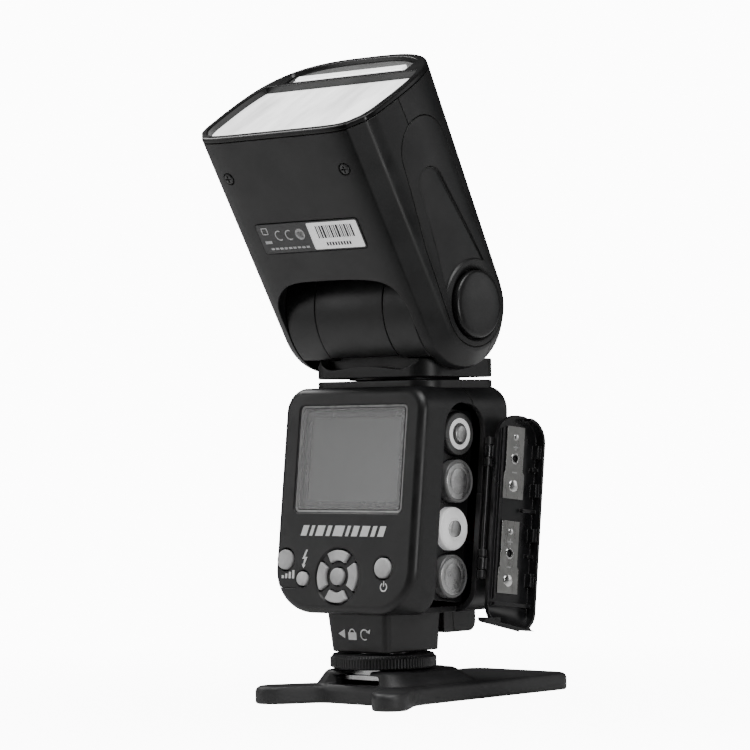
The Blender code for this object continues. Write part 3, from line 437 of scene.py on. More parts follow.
MAT = {
    "shell": plastic("shell_plastic", BLACK, 0.43),
    "cap": plastic("cap_plastic", BLACK, 0.36),
    "bezel": plastic("bezel_plastic", (0.004, 0.004, 0.0042), 0.3, depth=0.006, specular=0.35),
    "stand": plastic("stand_plastic", (0.015, 0.015, 0.0155), 0.48, 1500, 0.06, 0.3, 0.9),
    "ring": plastic("ring_plastic", (0.011, 0.011, 0.0115), 0.42, edge=0.12),
    "cage": plastic("cage_plastic", (0.005, 0.005, 0.0055), 0.3, depth=0.008),
    "key": plastic("key_rubber", grey(0.52), 0.5, 3200, 0.02, 0.25, specular=0.4),
    "steel": metal("bright_steel", grey(0.62), 0.22),
    "contact": metal("contact_metal", (0.34, 0.34, 0.33), 0.3, (700, 700, 90)),
    "polished": metal("polished_contact", (0.8, 0.8, 0.79), 0.16, (500, 500, 500)),
    "can": metal("cell_can", grey(0.6), 0.32, (900, 900, 900)),
    "brass": metal("turned_brass", (0.62, 0.46, 0.2), 0.3),
    "rim": plastic("rim_trim", grey(0.3), 0.28, edge=0.1),
    "screw": metal("screw_black", grey(0.09), 0.35),
    "display": display_material(),
    "window": clear_material("window_clear", grey(0.5), 0.05, 0.22),
    "pin": metal("blackened_steel", grey(0.06), 0.35),
    "board": plastic("board_green", (0.02, 0.09, 0.045), 0.4, 900, 0.05),
    "capacitor": plastic("capacitor_sleeve", (0.012, 0.012, 0.02), 0.3, 700, 0.02),
    "sensor": plastic("sensor_red", (0.06, 0.003, 0.003), 0.12, 300, 0.004, 0.3),
    "label": plastic("label_foil", (0.05, 0.05, 0.051), 0.36, 3400, 0.008, 0.1),
    # painted light: the sticker glows so it looks lit, though it faces down towards the floor
    "sticker": plastic("sticker_paper", grey(0.9), 0.5, 2400, 0.008, 0.05, glow=0.6),
    "lens": lens_material(),
    # painted light: the milky panel and the bounce card glow, though neither is a lamp
    "wide": plastic("panel_milky", grey(0.85), 0.3, 1200, 0.01, 0.2, glow=1.2),
    "card": plastic("card_white", grey(0.9), 0.5, 1800, 0.01, 0.2, glow=1.7),
    "reflector": metal("reflector_bright", grey(0.9), 0.15, (300, 300, 300)),
    "edge": plastic("edge_gloss", grey(0.03), 0.2, 900, 0.004, 0.05),
    "liner": plastic("slot_liner", grey(0.1), 0.45, 1500, 0.01, 0.1),
    "tube": clear_material("tube_glass", grey(0.9), 0.04, 0.4),
    "ink": paint("ink_white", grey(0.86)),
    "ink_black": paint("ink_black", grey(0.01)),
    "sleeve_dark": plastic("sleeve_dark", grey(0.055), 0.3, 500, 0.01, 0.2),
    "sleeve_grey": plastic("sleeve_grey", grey(0.12), 0.3, 500, 0.01, 0.2),
    # painted light: the white sleeves, and the washers made of the same material, glow a little
    "sleeve_white": plastic("sleeve_white", grey(0.86), 0.35, 500, 0.01, 0.2, glow=0.25),
}


# ---- stand
STAND_HALF = [(10.5, -16.8), (14.0, -18.6), (19.6, -27.6), (22.5, -30.8), (26.0, -32.2),
              (29.6, -31.2), (31.9, -28.2), (31.6, -24.4), (28.6, -19.2), (23.6, -11.0),
              (22.0, -4.0), (22.0, 12.0)]


def stand_outline():
    tip = span("stand")[1].y
    half = smooth_line(STAND_HALF, 5) + [(22.0, 40.0)] + arc(16, tip - 6, 6, 6, 0, 90, 10)
    return half + [(-x, y) for x, y in reversed(half)]


def inset(outline, amount, center=(0, 20)):
    """An outline drawn in towards a centre by an amount at every point."""
    out = []
    for x, y in outline:
        dx, dy = x - center[0], y - center[1]
        scale = 1 - amount / math.hypot(dx, dy)
        out.append((center[0] + dx * scale, center[1] + dy * scale))
    return out


def build_stand():
    outline = stand_outline()
    plate_hi = span("foot_plate")[1]
    hub_top = span("stand")[1].z
    slab = layers([(inset(outline, 0.5), 0.0), (inset(outline, 0.1), 0.3), (outline, 0.8),
                   (outline, 4.4), (inset(outline, 0.4), 5.2), (inset(outline, 1.2), 5.8),
                   (inset(outline, 2.4), 6.0)])
    hub = layers([(rounded(-w, w, a, b, r), z) for z, w, a, b, r in (
        (3.0, 21.3, -16.4, 32.5, 7), (5.6, 20.4, -16.0, 31.0, 7), (7.6, 18.9, -15.4, 27.0, 7),
        (9.4, 17.3, -14.6, 23.6, 6), (10.4, 16.6, -14.2, 22.3, 6),
        (hub_top, 15.6, -13.4, 21.0, 5.4))])
    lip = layers([(rounded(-7.5, 7.5, a, b, 1.0, 4), z) for z, a, b in (
        (6, 17, 24.0), (10.0, 17, 23.6), (hub_top, 17.6, 22.6))])
    stand = join(make("stand_fine", slab), hub, lip)
    end, inner = plate_hi.y + GAP, plate_hi.x + GAP
    floor, roof = 6.3, 9.5
    channel = [(-inner, end), (-inner, -13.2), (-13.7, -17.5), (-13.7, -40),
               (13.7, -40), (13.7, -17.5), (inner, -13.2), (inner, end)]
    cut(stand, prism(channel, floor, roof), box(-6.35, 6.35, -40, end, floor, 20),
        rod(4.5, -1, 8.3, (0, 24)), prism(rounded(-18, 18, 36, 69, 5), -1, 1.5),
        prism(arc(0, 0, 9.6, 9.6, 0, 360, 64)[:-1], hub_top - 0.01, 20))
    soften = stand.modifiers.new("soften", "REMESH")
    soften.mode, soften.voxel_size = "VOXEL", 0.00042
    relax = stand.modifiers.new("relax", "SMOOTH")
    relax.factor, relax.iterations = 0.5, 5
    bake(stand)
    twin("stand", stand, "stand", "stand", angle=60)
    refine("stand_insert", "brass", "stand", "stand_insert", 0.2)


def print_on(name, outlines, place, body, ink="ink", height=0.04, base=-0.02):
    """Ink shapes lying on a face of a frame, joined into one object."""
    return finish(make(name, prisms(outlines, base, height), place), ink, body, angle=40)


def bar(x, y, w, h, skew=0.0):
    return [(x - w / 2 - skew, y - h / 2), (x + w / 2 - skew, y - h / 2),
            (x + w / 2 + skew, y + h / 2), (x - w / 2 + skew, y + h / 2)]


def bar_row(widths, gap, x, y, h, skew=0.0):
    """Bars of the given widths side by side, from x on."""
    out = []
    for w in widths:
        out.append(bar(x + w / 2, y, w, h, skew))
        x += w + gap
    return out


def ring_band(x, y, r, width, start=0, end=360, steps=28):
    return (arc(x, y, r, r, start, end, steps)
            + arc(x, y, r - width, r - width, end, start, steps))


def build_foot():
    lo, hi = span("foot_block")
    half, flare = 12.73, 1.1
    rear = lo.y + flare
    levels = [(rounded(-half - f, half + f, rear - f, hi.y, 2.4), z) for z, f in (
        (lo.z, -0.5), (lo.z + 0.12, -0.2), (lo.z + 0.5, 0.0), (hi.z, flare))]
    twin("foot_block", layers(levels), "shell", BODY, angle=40)
    face_up = Vector((0, -1, (hi.z - lo.z) / flare)).normalized()
    face = frame_at(Vector((0, rear - 0.02, lo.z)), X, face_up, X.cross(face_up))
    padlock = [bar(-2.1, 5.5, 3.6, 2.5), ring_band(-2.1, 6.6, 1.4, 0.45, 0, 180, 14)]
    arrow = [(-8.4, 6.2), (-5.4, 4.7), (-5.4, 7.7)]
    turn = [ring_band(3.4, 6.1, 1.9, 0.45, 20, 300, 24), [(5.6, 6.4), (4.2, 6.9), (6.1, 8.0)]]
    print_on("lock_mark", [arrow] + padlock + turn, face, BODY)
    refine("foot_plate", "steel", BODY, "foot_plate", 0.12)
    refine("contact_carrier", "cage", BODY, "contact_carrier", 0.12)
    refine("lock_pin", "steel", "lock_pin", "lock_pin", 0.15)


def build_ring():
    """Thumb ring: square-cut teeth between two plain shoulders."""
    lo, hi = span("lock_ring")
    radius, bore, teeth = hi.x, 9.08, 100
    levels = []
    for z, high, low in (
            (lo.z, 16.6, 16.6), (lo.z + 0.2, 17.2, 17.0), (lo.z + 0.6, radius, radius - 0.5),
            (hi.z - 1.25, radius, radius - 0.5), (hi.z - 0.95, 17.3, 17.1),
            (hi.z - 0.15, 16.9, 16.9), (hi.z, 16.3, 16.3), (hi.z, bore, bore),
            (lo.z, bore, bore)):
        radii = (high, high, high, (high + low) / 2, low, (high + low) / 2) * teeth
        angles = [2 * math.pi * i / len(radii) for i in range(len(radii))]
        levels.append(([(r * math.cos(a), r * math.sin(a)) for r, a in zip(radii, angles)], z))
    twin("lock_ring", layers(levels, hollow=True), "ring", "lock_ring", slot="lock_ring", angle=35)


# ---- body
HALF_W, TOP, BOTTOM = 31.5, 105.3, 30.1
FRONT_Y = span("front_shell")[1].y
PANEL_AT = PANEL @ Vector((0, 0, 0))
REAR_ROUND, FRONT_ROUND, WALL = 3.0, 4.5, 2.0


def body_ring(inset_by, off_rear=None, off_front=None, blend=1.0, drop=0.0):
    """Body outline, shrunk by inset_by, laid off from the panel or front face."""
    half, top, low = HALF_W - inset_by, TOP - inset_by, BOTTOM + inset_by - drop
    # the lower corners ease from 17 by 15 at the rear to 8 by 8
    rt = max(8.0 - inset_by, 1.0)
    rx = max(17.0 - 9.0 * blend - inset_by, 1.0)
    rz = max(15.0 - 7.0 * blend - inset_by, 1.0)
    outline = (arc(half - rt, top - rt, rt, rt, 0, 90, 12)
               + arc(rt - half, top - rt, rt, rt, 90, 180, 12)
               + arc(rx - half, low + rz, rx, rz, 180, 270, 16)
               + arc(half - rx, low + rz, rx, rz, 270, 360, 16))
    if off_rear is None:
        return [(x, FRONT_Y - off_front, z) for x, z in outline]
    return [(x, PANEL_AT.y + LEAN * (z - PANEL_AT.z) + off_rear, z) for x, z in outline]


def body_solid(inset_by, drop=0.0, steps=8):
    """The closed body: rounded rear edge, corners easing out, rounded front edge."""
    def corner(radius, k):
        ang = math.radians(90 * k / steps)
        return (inset_by + radius * (1 - math.sin(ang)), inset_by + radius * (1 - math.cos(ang)))
    rear = [corner(REAR_ROUND, k) for k in range(steps)]
    front = [corner(FRONT_ROUND, k) for k in range(steps - 1, -1, -1)]
    return loft([body_ring(g, off_rear=off, blend=0, drop=drop) for g, off in rear]
                + [body_ring(inset_by, off_rear=REAR_ROUND + 7.0 * k / 3, blend=k / 3, drop=drop)
                   for k in range(1, 4)]
                + [body_ring(g, off_front=off, drop=drop) for g, off in front])


def beyond_seam(side):
    """Everything in front of (side 1) or behind (side -1) the body seam."""
    def y(z):
        return 10.9 - 0.114 * (z - 105) - side * GAP / 2
    return prism([(y(0), 0), (y(140), 140), (side * 90, 140), (side * 90, 0)], -60, 60, 0)


def door_outline(grow, ledge=0.0):
    lo, hi = DOOR_SPAN
    f0, f1, a0, a1 = lo[0] - grow, hi[0] + grow, lo[1] - grow, max(hi[1] + grow, ledge)
    top, low = 9 + grow, 7 + grow
    return (arc(f1 - top, a1 - top, top, top, 0, 90, 14)
            + arc(f0 + top, a1 - top, top, top, 90, 180, 14)
            + arc(f0 + low, a0 + low, low, low, 180, 270, 10)
            + [(14.4 + grow, a0), (15.6 + grow, a0 + 0.7), (15.8 + grow, -39.0 - grow),
               (15.0 + grow, -37.9 - grow), (13.0 + grow, -36.6 + grow),
               (f1, -36.4 + grow)])


def door_span():
    """The shut door's rear and front edge and its height, from the stored open one."""
    turn = BAY.inverted() @ DOOR_SWING.inverted()
    points = [turn @ (v.co * 1000) for v in frame["nodes"]["battery_door"].data.vertices]
    low = min(p.z for p in points)
    body = [p for p in points if p.x < HINGE_X - 1.5 and p.z > -30]
    return ((min(p.y for p in body), low),
            (max(p.y for p in body), max(p.z for p in body)))


DOOR_SPAN = door_span()


def hinge_piece(center_a, length, on_door):
    """Eye round the hinge pin, and its foot."""
    lo, hi = center_a - length / 2, center_a + length / 2
    foot = ([(31.2, 4.6), (33.0, 4.6), (33.0, 8.7), (31.85, 8.7), (31.85, 8.2), (31.2, 7.4)]
            if on_door else [(30.9, 8.7), (33.2, 8.7), (33.2, 11.6), (30.9, 11.6)])
    return [make("ear", prism(circle(1.4, (HINGE_X, HINGE_F), 32), lo, hi), BAY),
            make("ear_foot", prism(foot, lo, hi), BAY)]


PIN_BORE = rod(0.8, -30, 30, (HINGE_X, HINGE_F))


def arc_key(centre, r0, r1, mid, half, steps=14):
    return (arc(*centre, r1, r1, mid - half, mid + half, steps)
            + arc(*centre, r0, r0, mid + half, mid - half, steps))


ARC_KEYS = {"key_right": 0, "key_up": 90, "key_left": 180, "key_down": 270}
ROUND_KEYS = ("button_mode", "button_test", "button_power")
RIM_LO, RIM_HI = span("window_rim", PANEL)
PAD = middle("key_set", PANEL)[:2]


def window(grow, r):
    return around(RIM_LO, RIM_HI, grow, r)


def panel_cutters():
    cuts = [layers([(window(g, r), h) for g, r, h in (
                (-0.05, 1.9, -0.9), (0.1, 2.0, -0.3), (0.5, 2.3, 0.05), (0.6, 2.4, 2.0))]),
            prism(window(-1.5, 1.0), -4, 2),
            lathe([(9.2, -0.7), (9.5, -0.35), (9.8, 0.02), (9.8, 2)], PAD),
            rod(3.3, -6, 2, PAD)]
    for name in ROUND_KEYS:
        lo, hi = span(name, PANEL)
        r = (hi.x - lo.x) / 2
        cuts.append(lathe([(r + 0.3, -6), (r + 0.3, -0.5), (r + 0.7, 0.02), (r + 0.7, 2)],
                          middle(name, PANEL)[:2]))
    cuts += [prism(arc_key(PAD, 4.9, 9.2, mid, 35.5), -6, 2) for mid in ARC_KEYS.values()]
    return cuts


def build_shells():
    front = span("foot_block")[1].y + GAP
    chin = prism([(front, 36), (front, 23.4), (front + 0.3, 22.7), (front + 1.0, 22.5)]
                 + arc(28.1, 25.9, 3.4, 3.4, 270, 360, 10) + [(31.5, 40), (front + 8, 40)],
                 -14, 14, 0)
    lo, hi = span("sensor_window")
    inner = FRONT_Y - WALL
    for name, side, lugs in (("rear_shell", 1, (-22.2, -15.2)),
                             ("front_shell", -1, (15.2, 22.2))):
        shell = join(make(name + "_fine", body_solid(0)), chin)
        cut(shell, body_solid(WALL), beyond_seam(side), rod(9.4, 100, 112, (0, SWIVEL_Y)))
        cut(shell, prism(door_outline(GAP), 23.5, 45, 0),
            prism(door_outline(GAP, 33.8), 29, 45, 0), place=BAY)
        join(shell, *[part for a in lugs for part in hinge_piece(a, 2.4, False)])
        cut(shell, PIN_BORE, place=BAY)
        if side > 0:
            cut(shell, *panel_cutters(), place=PANEL)
            cut(shell, box(-31.6, -20.5, -40, 40, 38.35, 38.55))
        else:
            cut(shell, prism(around(lo, hi, GAP, 3, 2), 20, 40, 1))
            gasket = layers([(around(lo, hi, g, 3, 2), y) for g, y in (
                (1.6, inner - 0.9), (1.6, inner - 0.05), (-1.0, inner - 0.05),
                (-1.0, inner - 0.9))], 1, hollow=True)
            finish(make("sensor_gasket", gasket), "cage", BODY)
        twin(name, shell, "shell", BODY, angle=28)


def build_panel_parts():
    rim = layers([(window(g, r), h) for g, r, h in (
        (-0.8, 1.2, -0.75), (0, 1.9, -0.75), (0, 1.9, -0.62), (-0.12, 1.8, -0.5),
        (-0.42, 1.5, -0.5), (-0.55, 1.4, -0.62), (-0.8, 1.2, -0.66))], hollow=True)
    twin("window_rim", rim, "rim", BODY, PANEL, "window_rim")
    for name, mat in (("display_window", "window"), ("display_module", "display")):
        lo, hi = span(name, PANEL)
        twin(name, prism(around(lo, hi, 0, 1), lo.z, hi.z), mat, BODY, PANEL, name)
    band = layers([(around(lo, hi, -g, 1), hi.z + h) for g, h in (
        (0.2, 0.02), (2.0, 0.02), (2.0, 0.3), (0.2, 0.3))], hollow=True)
    finish(make("display_bezel", band, PANEL), "cage", BODY)
    board = frame["nodes"]["main_board"].material_slots[0]
    board.link = "OBJECT"
    board.material = MAT["board"]


def build_keys():
    for name in ROUND_KEYS:
        lo, hi = span(name, PANEL)
        r, top = (hi.x - lo.x) / 2 - 0.2, hi.z
        dome = 0.5 if name == "button_test" else 0.0
        edge = top - dome
        prof = ([(r, lo.z), (r, edge - 0.55)]
                + [(r - 0.5 + 0.5 * math.cos(a), edge - 0.55 + 0.45 * math.sin(a))
                   for a in (math.radians(15 * k) for k in range(1, 7))]
                + [(r * f, top - dome * f * f - 0.1 * f) for f in (0.75, 0.5, 0.25, 0.02)])
        twin(name, lathe(prof, middle(name, PANEL)[:2]), "key", name, PANEL)
    lo, hi = span("key_set", PANEL)
    prof = [(2.85, lo.z), (2.85, hi.z - 0.5), (2.75, hi.z - 0.25), (2.5, hi.z - 0.1),
            (1.5, hi.z - 0.02), (0.02, hi.z)]
    twin("key_set", lathe(prof, PAD), "key", "key_set", PANEL)
    for name, mid in ARC_KEYS.items():
        lo, hi = span(name, PANEL)
        levels = [(arc_key(PAD, r0, r1, mid, half), z) for r0, r1, half, z in (
            (5.35, 8.75, 32, lo.z), (5.35, 8.75, 32, hi.z - 0.4),
            (5.42, 8.68, 31.6, hi.z - 0.15), (5.62, 8.48, 30.2, hi.z))]
        twin(name, layers(levels), "key", name, PANEL)


def build_prints():
    """Generic marks where the real one carries words."""
    row = 0.5 * (RIM_LO.y + middle("key_up", PANEL).y) + 1.2
    widths = (2.6, 1.4, 3.4, 1.8, 4.4, 1.4, 2.6, 3.4, 1.8, 2.6)
    print_on("stripe_mark", bar_row(widths, 1.3, -19.3, row, 3.5, 0.6), PANEL, BODY)
    test = middle("button_test", PANEL)
    bolt = [(0.5, 3.1), (-1.1, 0.0), (-0.1, 0.0), (-0.7, -2.0), (-1.25, -1.7), (-0.3, -3.1),
            (0.55, -1.9), (0.0, -1.95), (1.2, 0.7), (0.15, 0.7), (1.15, 3.1)]
    print_on("bolt_mark", [[(test.x + 0.4 + a, test.y + 6.6 + b) for a, b in bolt]], PANEL, BODY)
    mode = middle("button_mode", PANEL)
    steps = [bar(mode.x + 1.6 + dx, mode.y - 6.3 + h / 2, 0.95, h)
             for dx, h in ((-2.4, 1.0), (-0.8, 1.6), (0.8, 2.2), (2.4, 2.8))]
    print_on("mode_mark", steps, PANEL, BODY)
    power = middle("button_power", PANEL)
    x, y = power.x + 0.8, power.y - 6.2
    print_on("power_mark", [ring_band(x, y, 1.55, 0.42, 120, 420), bar(x, y + 1.1, 0.42, 1.9)],
             PANEL, BODY)


# ---- cells and door
def build_cells():
    refine("cell_cage", "cage", BODY, "cage", 0.25)
    # sleeve_white, also used for every washer, carries a little painted light: it glows
    for i, sleeve in enumerate(("sleeve_dark", "sleeve_grey", "sleeve_white", "sleeve_grey"), 1):
        name = "cell_%d" % i
        lo, hi = span(name, BAY)
        r, washer = (hi.y - lo.y) / 2, 5.2 if i == 1 else 6.5
        flat, nose, way = (lo.x, hi.x, 1) if i % 2 else (hi.x, lo.x, -1)

        def up(depth):
            return flat + way * depth

        def down(depth):
            return nose - way * depth
        for part, mat, profile in (
            ("sleeve", sleeve, [
                (r - 0.9, up(0.15)), (r - 0.25, up(0.02)), (r, up(0.35)), (r, down(1.5)),
                (r - 0.25, down(1.12)), (r - 0.9, down(1.15))]),
            ("flat", "can", [
                (0.02, up(0.12)), (2.4, up(0.1)), (4.0, up(0.02)), (4.3, up(0.16)),
                (4.7, up(0.04)), (5.9, up(0.02)), (6.25, up(0.3)), (6.25, up(0.6)),
                (0.02, up(0.6))]),
            ("nub", "can", [
                (2.74, down(1.3)), (2.74, down(0.22)), (2.5, down(0.05)), (1.9, down(0)),
                (0.02, down(0.04))]),
            ("washer", "sleeve_white", [
                (3.6, down(1.25)), (washer, down(1.2)), (washer, down(0.98)),
                (3.7, down(0.95))])):
            solid = lathe(profile, middle(name, BAY)[1:], 0, hollow=part == "washer")
            nodes, slot = ((name,), "cell") if part == "sleeve" else ((), None)
            finish(make("%s_%s" % (name, part), solid, BAY), mat, name, nodes, slot)
    for name in ("cell_contact_upper", "cell_contact_lower"):
        refine(name, "contact", BODY, "contact", 0.08)
    refine("flash_capacitor", "capacitor", BODY, "capacitor", 0.2)
    refine("sensor_window", "sensor", BODY, "sensor_window", 0.2)
    refine("door_pin", "pin", BODY, "steel", 0.2)


def swing(obj):
    """Turn a piece built with the door shut to the door's stored open place."""
    turn = Matrix.Translation(DOOR_SWING.translation * 0.001) @ DOOR_SWING.to_3x3().to_4x4()
    obj.data.transform(turn)
    return obj


def build_door():
    drop = 4.4                      # the door's foot hangs this far below the body's
    rim, inner = ([(f, a) for f, a in door_outline(g) if f < -3.0] for g in (-0.7, -1.5))
    ribs = [prism(rim + inner[::-1], 26.4, 45, 0)]
    ribs += [box(28.4, 45, -10.2, f, a - 0.6, a + 0.6) for a, f in
             ((14, -7.6), (0, -4.2), (-15, -7.6), (-31.6, 6.4))]
    ribs += [box(27.4, 45, -10.4, -8.6, a - 2.2, a + 2.2) for a in (20, 7, -8, -23)]
    ribs += [box(28.9, 45, 5.6, 6.4, -30, 27),
             prism([(6.0, -36.2), (13, -36.4), (16, -37.6), (17, -43), (6.0, -43)], 25.5, 45, 0)]
    inside = cut(make("inside", body_solid(1.5, drop)), *ribs, place=BAY)
    corner = prism([(20, -14), (34, -14), (34, -5.0), (28, -3.4), (24, -1.5), (20, 0)],
                   -48, -39.9, 2)
    door = combine(make("battery_door_fine", body_solid(0, drop)),
                   [prism(door_outline(0), 24, 45, 0)], "INTERSECT", BAY)
    cut(door, inside, corner, place=BAY)
    join(door, *[part for a in (18.7, -18.7) for part in hinge_piece(a, 3.8, True)])
    cut(door, PIN_BORE, place=BAY)
    twin("battery_door", swing(door), "cage", "battery_door", slot="shell", angle=28)

    def on_door(name, geometry, mat):
        finish(swing(make(name, geometry, BAY)), mat, "battery_door")
    pitch = middle("cell_1", BAY).z - middle("cell_2", BAY).z
    for name, mid in (("door_contact_upper", pitch), ("door_contact_lower", -pitch)):
        outline = [(-4.0, mid + 12), (-4.0, mid - 3), (-4.8, mid - 4), (-4.8, mid - 12.2),
                   (4.6, mid - 12.2), (4.6, mid - 4), (4.0, mid - 3), (4.0, mid + 12)]
        plate = make(name + "_fine", prism(outline, 29.3, 29.7, 0), BAY)
        cut(plate, rod(1.3, 28, 31, (0, mid + 1.2), 0, 32), place=BAY)
        twin(name, swing(plate), "contact", "battery_door", bevel=0.12)
        for part, prof, a, hollow in (
                ("dome", [(2.1, 29.35), (1.9, 29.05), (1.3, 28.9), (0.02, 28.88)],
                 mid - 7.9, False),
                ("dimple", [(1.1, 29.35), (0.95, 29.12), (0.4, 29.06), (0.02, 29.06)],
                 mid + 8.4, False),
                ("eyelet", [(1.9, 29.32), (1.75, 29.0), (1.35, 29.0), (1.3, 29.32)],
                 mid + 1.2, True)):
            on_door("%s_%s" % (name, part), lathe(prof, (0, a), 0, 40, hollow), "polished")
        marks = [bar(0, mid + 5.0, 2.2, 0.45), bar(0, mid - 3.4, 2.2, 0.45),
                 bar(0, mid + 5.0, 0.45, 2.2)]
        on_door(name + "_marks", prisms(marks, 29.2, 29.35, 0), "can")


# ---- neck
def neck_layers(*levels):
    """Solid of the neck's outline, through (shrink, height) pairs."""
    ends = span("swivel_collar")
    return layers([(around(*ends, -s, 8 - s, steps=14), z) for s, z in levels])


def build_neck():
    lo, hi = span("swivel_collar")
    collar = make("swivel_collar_fine", neck_layers(
        (0, lo.z - 1.1), (0, hi.z - 0.5), (0.15, hi.z - 0.15), (0.5, hi.z)))
    seam = SWIVEL_Y - 1.9
    cut(collar, rod(9.08, 100, 112, (0, SWIVEL_Y)),
        box(23.9, 40, seam - 0.1, seam + 0.1, 100, 120))
    twin("swivel_collar", collar, "shell", BODY)
    base_z = hi.z + 0.9
    cap_lo, cap_hi = span("neck_cap_left")
    top, barrel_r = cap_lo.z - GAP, cap_hi.y - TILT.y
    centre = (TILT.y, TILT.z)
    bore, core = rod(4.3, -50, 50, centre, 0), 15.0
    base = make("swivel_base_fine", neck_layers(
        (0.5, base_z), (0.15, base_z + 0.15), (0, base_z + 0.5), (0, top - 0.3), (0.3, top)))
    join(base, rod(barrel_r, -core, core, centre, 0, 160), rod(9, 103, 109, (0, SWIVEL_Y)),
         rod(18.7, hi.z + GAP, 109, (0, SWIVEL_Y), 2, 120))
    wave = smooth_line([
        (-21.3, 115.4), (-20.6, 113.0), (-17.0, 111.3), (-12.0, 111.4), (-3.5, 112.1),
        (5, 111.9), (12, 111.1), (17.5, 111.2), (21.8, 113.2), (22.6, 115.4)], 6)
    scoop = layers([(wave, -2.5), (wave, -12.0)], 1)
    corner = prism([(-30, 112.7), (-25.5, 112.6), (-22.6, 113.2), (-21.0, 115.4), (-30, 115.4)],
                   -12, 3, 1)
    cut(base, bore, scoop, corner)
    twin("swivel_base", base, "shell", "swivel", angle=30)
    lip = tube([(x, lo.y + max(0.0, 0.055 * (abs(x) - 18) ** 2), z)
                for x, z in wave[4:-4]], 0.2)
    finish(make("scoop_lip", lip), "edge", "swivel")
    below = box(-40, 40, -40, 60, 90, top + GAP)
    for name in ("neck_cap_right", "neck_cap_left"):
        lo, hi = span(name)
        prof = [(barrel_r - 0.25, lo.x), (barrel_r, lo.x + 0.25), (barrel_r, hi.x - 0.25),
                (barrel_r - 0.25, hi.x)]
        cap = cut(make(name + "_fine", lathe(prof, centre, 0, 160)), bore, below)
        twin(name, cap, "shell", "swivel", angle=30)
    refine("tilt_shaft", "steel", "swivel", "steel", 0.3)


# ---- head
HEAD_HALF, HEAD_R, HEAD_BACK = 38.3, 22.1, 34.6
RIM_TOP = span("lens_bezel", HEAD)[1].z
HEAD_TOP = RIM_TOP - 2.0
FORK_HALF, FORK_TOP = 28.9, 23.0
COVER_X = 34.8
SCREWS = ("head_screw_left", "head_screw_right")
LABEL_LO, LABEL_HI = span("rating_label", HEAD)


def superellipse(a, b, power):
    """Half outline from (a, 0) over (0, b) to (-a, 0)."""
    out = []
    for i in range(HEAD_STEPS + 1):
        ang = math.pi * i / HEAD_STEPS
        c, s = math.cos(ang), math.sin(ang)
        out.append((math.copysign(a * abs(c) ** (2 / power), c), b * abs(s) ** (2 / power)))
    out[0], out[HEAD_STEPS // 2], out[-1] = (a, 0.0), (0.0, b), (-a, 0.0)
    return out


BEVEL = (0.755, 0.655, 37.75)       # direction and reach of the bevelled corners
FACE_POWER, BACK_POWER, FLANK_LEAN = 9.0, 3.1, 0.11


def label_half(inset_by):
    """Flat face with bevelled corners; the flanks lean in a little towards it."""
    a, b = HEAD_HALF - inset_by, HEAD_R - inset_by
    out = []
    for x, v in superellipse(a, b, FACE_POWER):
        x *= 1 - FLANK_LEAN * (v / b) ** 3
        back = min(1.0, (BEVEL[2] - inset_by) / (BEVEL[0] * abs(x) + BEVEL[1] * v))
        out.append((x * back, v * back))
    return out


def back_half(inset_by, w):
    t = max(0.0, min(1.0, w / HEAD_TOP))
    far = superellipse(HEAD_HALF - inset_by, HEAD_BACK - inset_by, BACK_POWER)
    return [((1 - t) * p[0] + t * q[0], (1 - t) * p[1] + t * q[1])
            for p, q in zip(label_half(inset_by), far)]


def head_section(inset_by, w):
    """Whole outline across the head at height w: label side, then back."""
    return ([(x, -v) for x, v in label_half(inset_by)]
            + back_half(inset_by, w)[-2:0:-1])


def clip(outline, limit):
    """An outline with everything above a line of constant v pressed onto it."""
    return [(x, min(v, limit)) for x, v in outline]


def head_outer():
    """Sweep the section down the label side, round the hinge and up the back."""
    strips = [[(x, -v, w * HEAD_TOP / 6) for x, v in label_half(0)] for w in range(6, 0, -1)]
    for k in range(37):
        ang = math.radians(5 * k)
        strips.append([(x, -v * math.cos(ang), -v * math.sin(ang)) for x, v in label_half(0)])
    strips += [[(x, v, w * HEAD_TOP / 6) for x, v in back_half(0, w * HEAD_TOP / 6)]
               for w in range(1, 7)]
    width = HEAD_STEPS + 1
    verts = [p for strip in strips for p in strip]
    faces = [(r * width + i, r * width + i + 1, (r + 1) * width + i + 1, (r + 1) * width + i)
             for r in range(len(strips) - 1) for i in range(HEAD_STEPS)]
    last = (len(strips) - 1) * width
    faces.append(list(range(width)) + list(range(last + HEAD_STEPS - 1, last, -1)))
    return verts, faces


def cover_outline(grow):
    r, top = 13.9 + grow, 12.3 + grow
    return (arc(0, 0, r, r, 180, 360, 48) + arc(4.0, 54, top, top, 0, 180, 40)
            + [(-12.3 - grow, 28)])


def recess_outline(grow):
    return (arc(0.6, 44.3, 5.6 + grow, 5.6 + grow, 0, 180, 24)
            + arc(0, 0, 15.2 - grow, 15.2 - grow, 138, 42, 20))


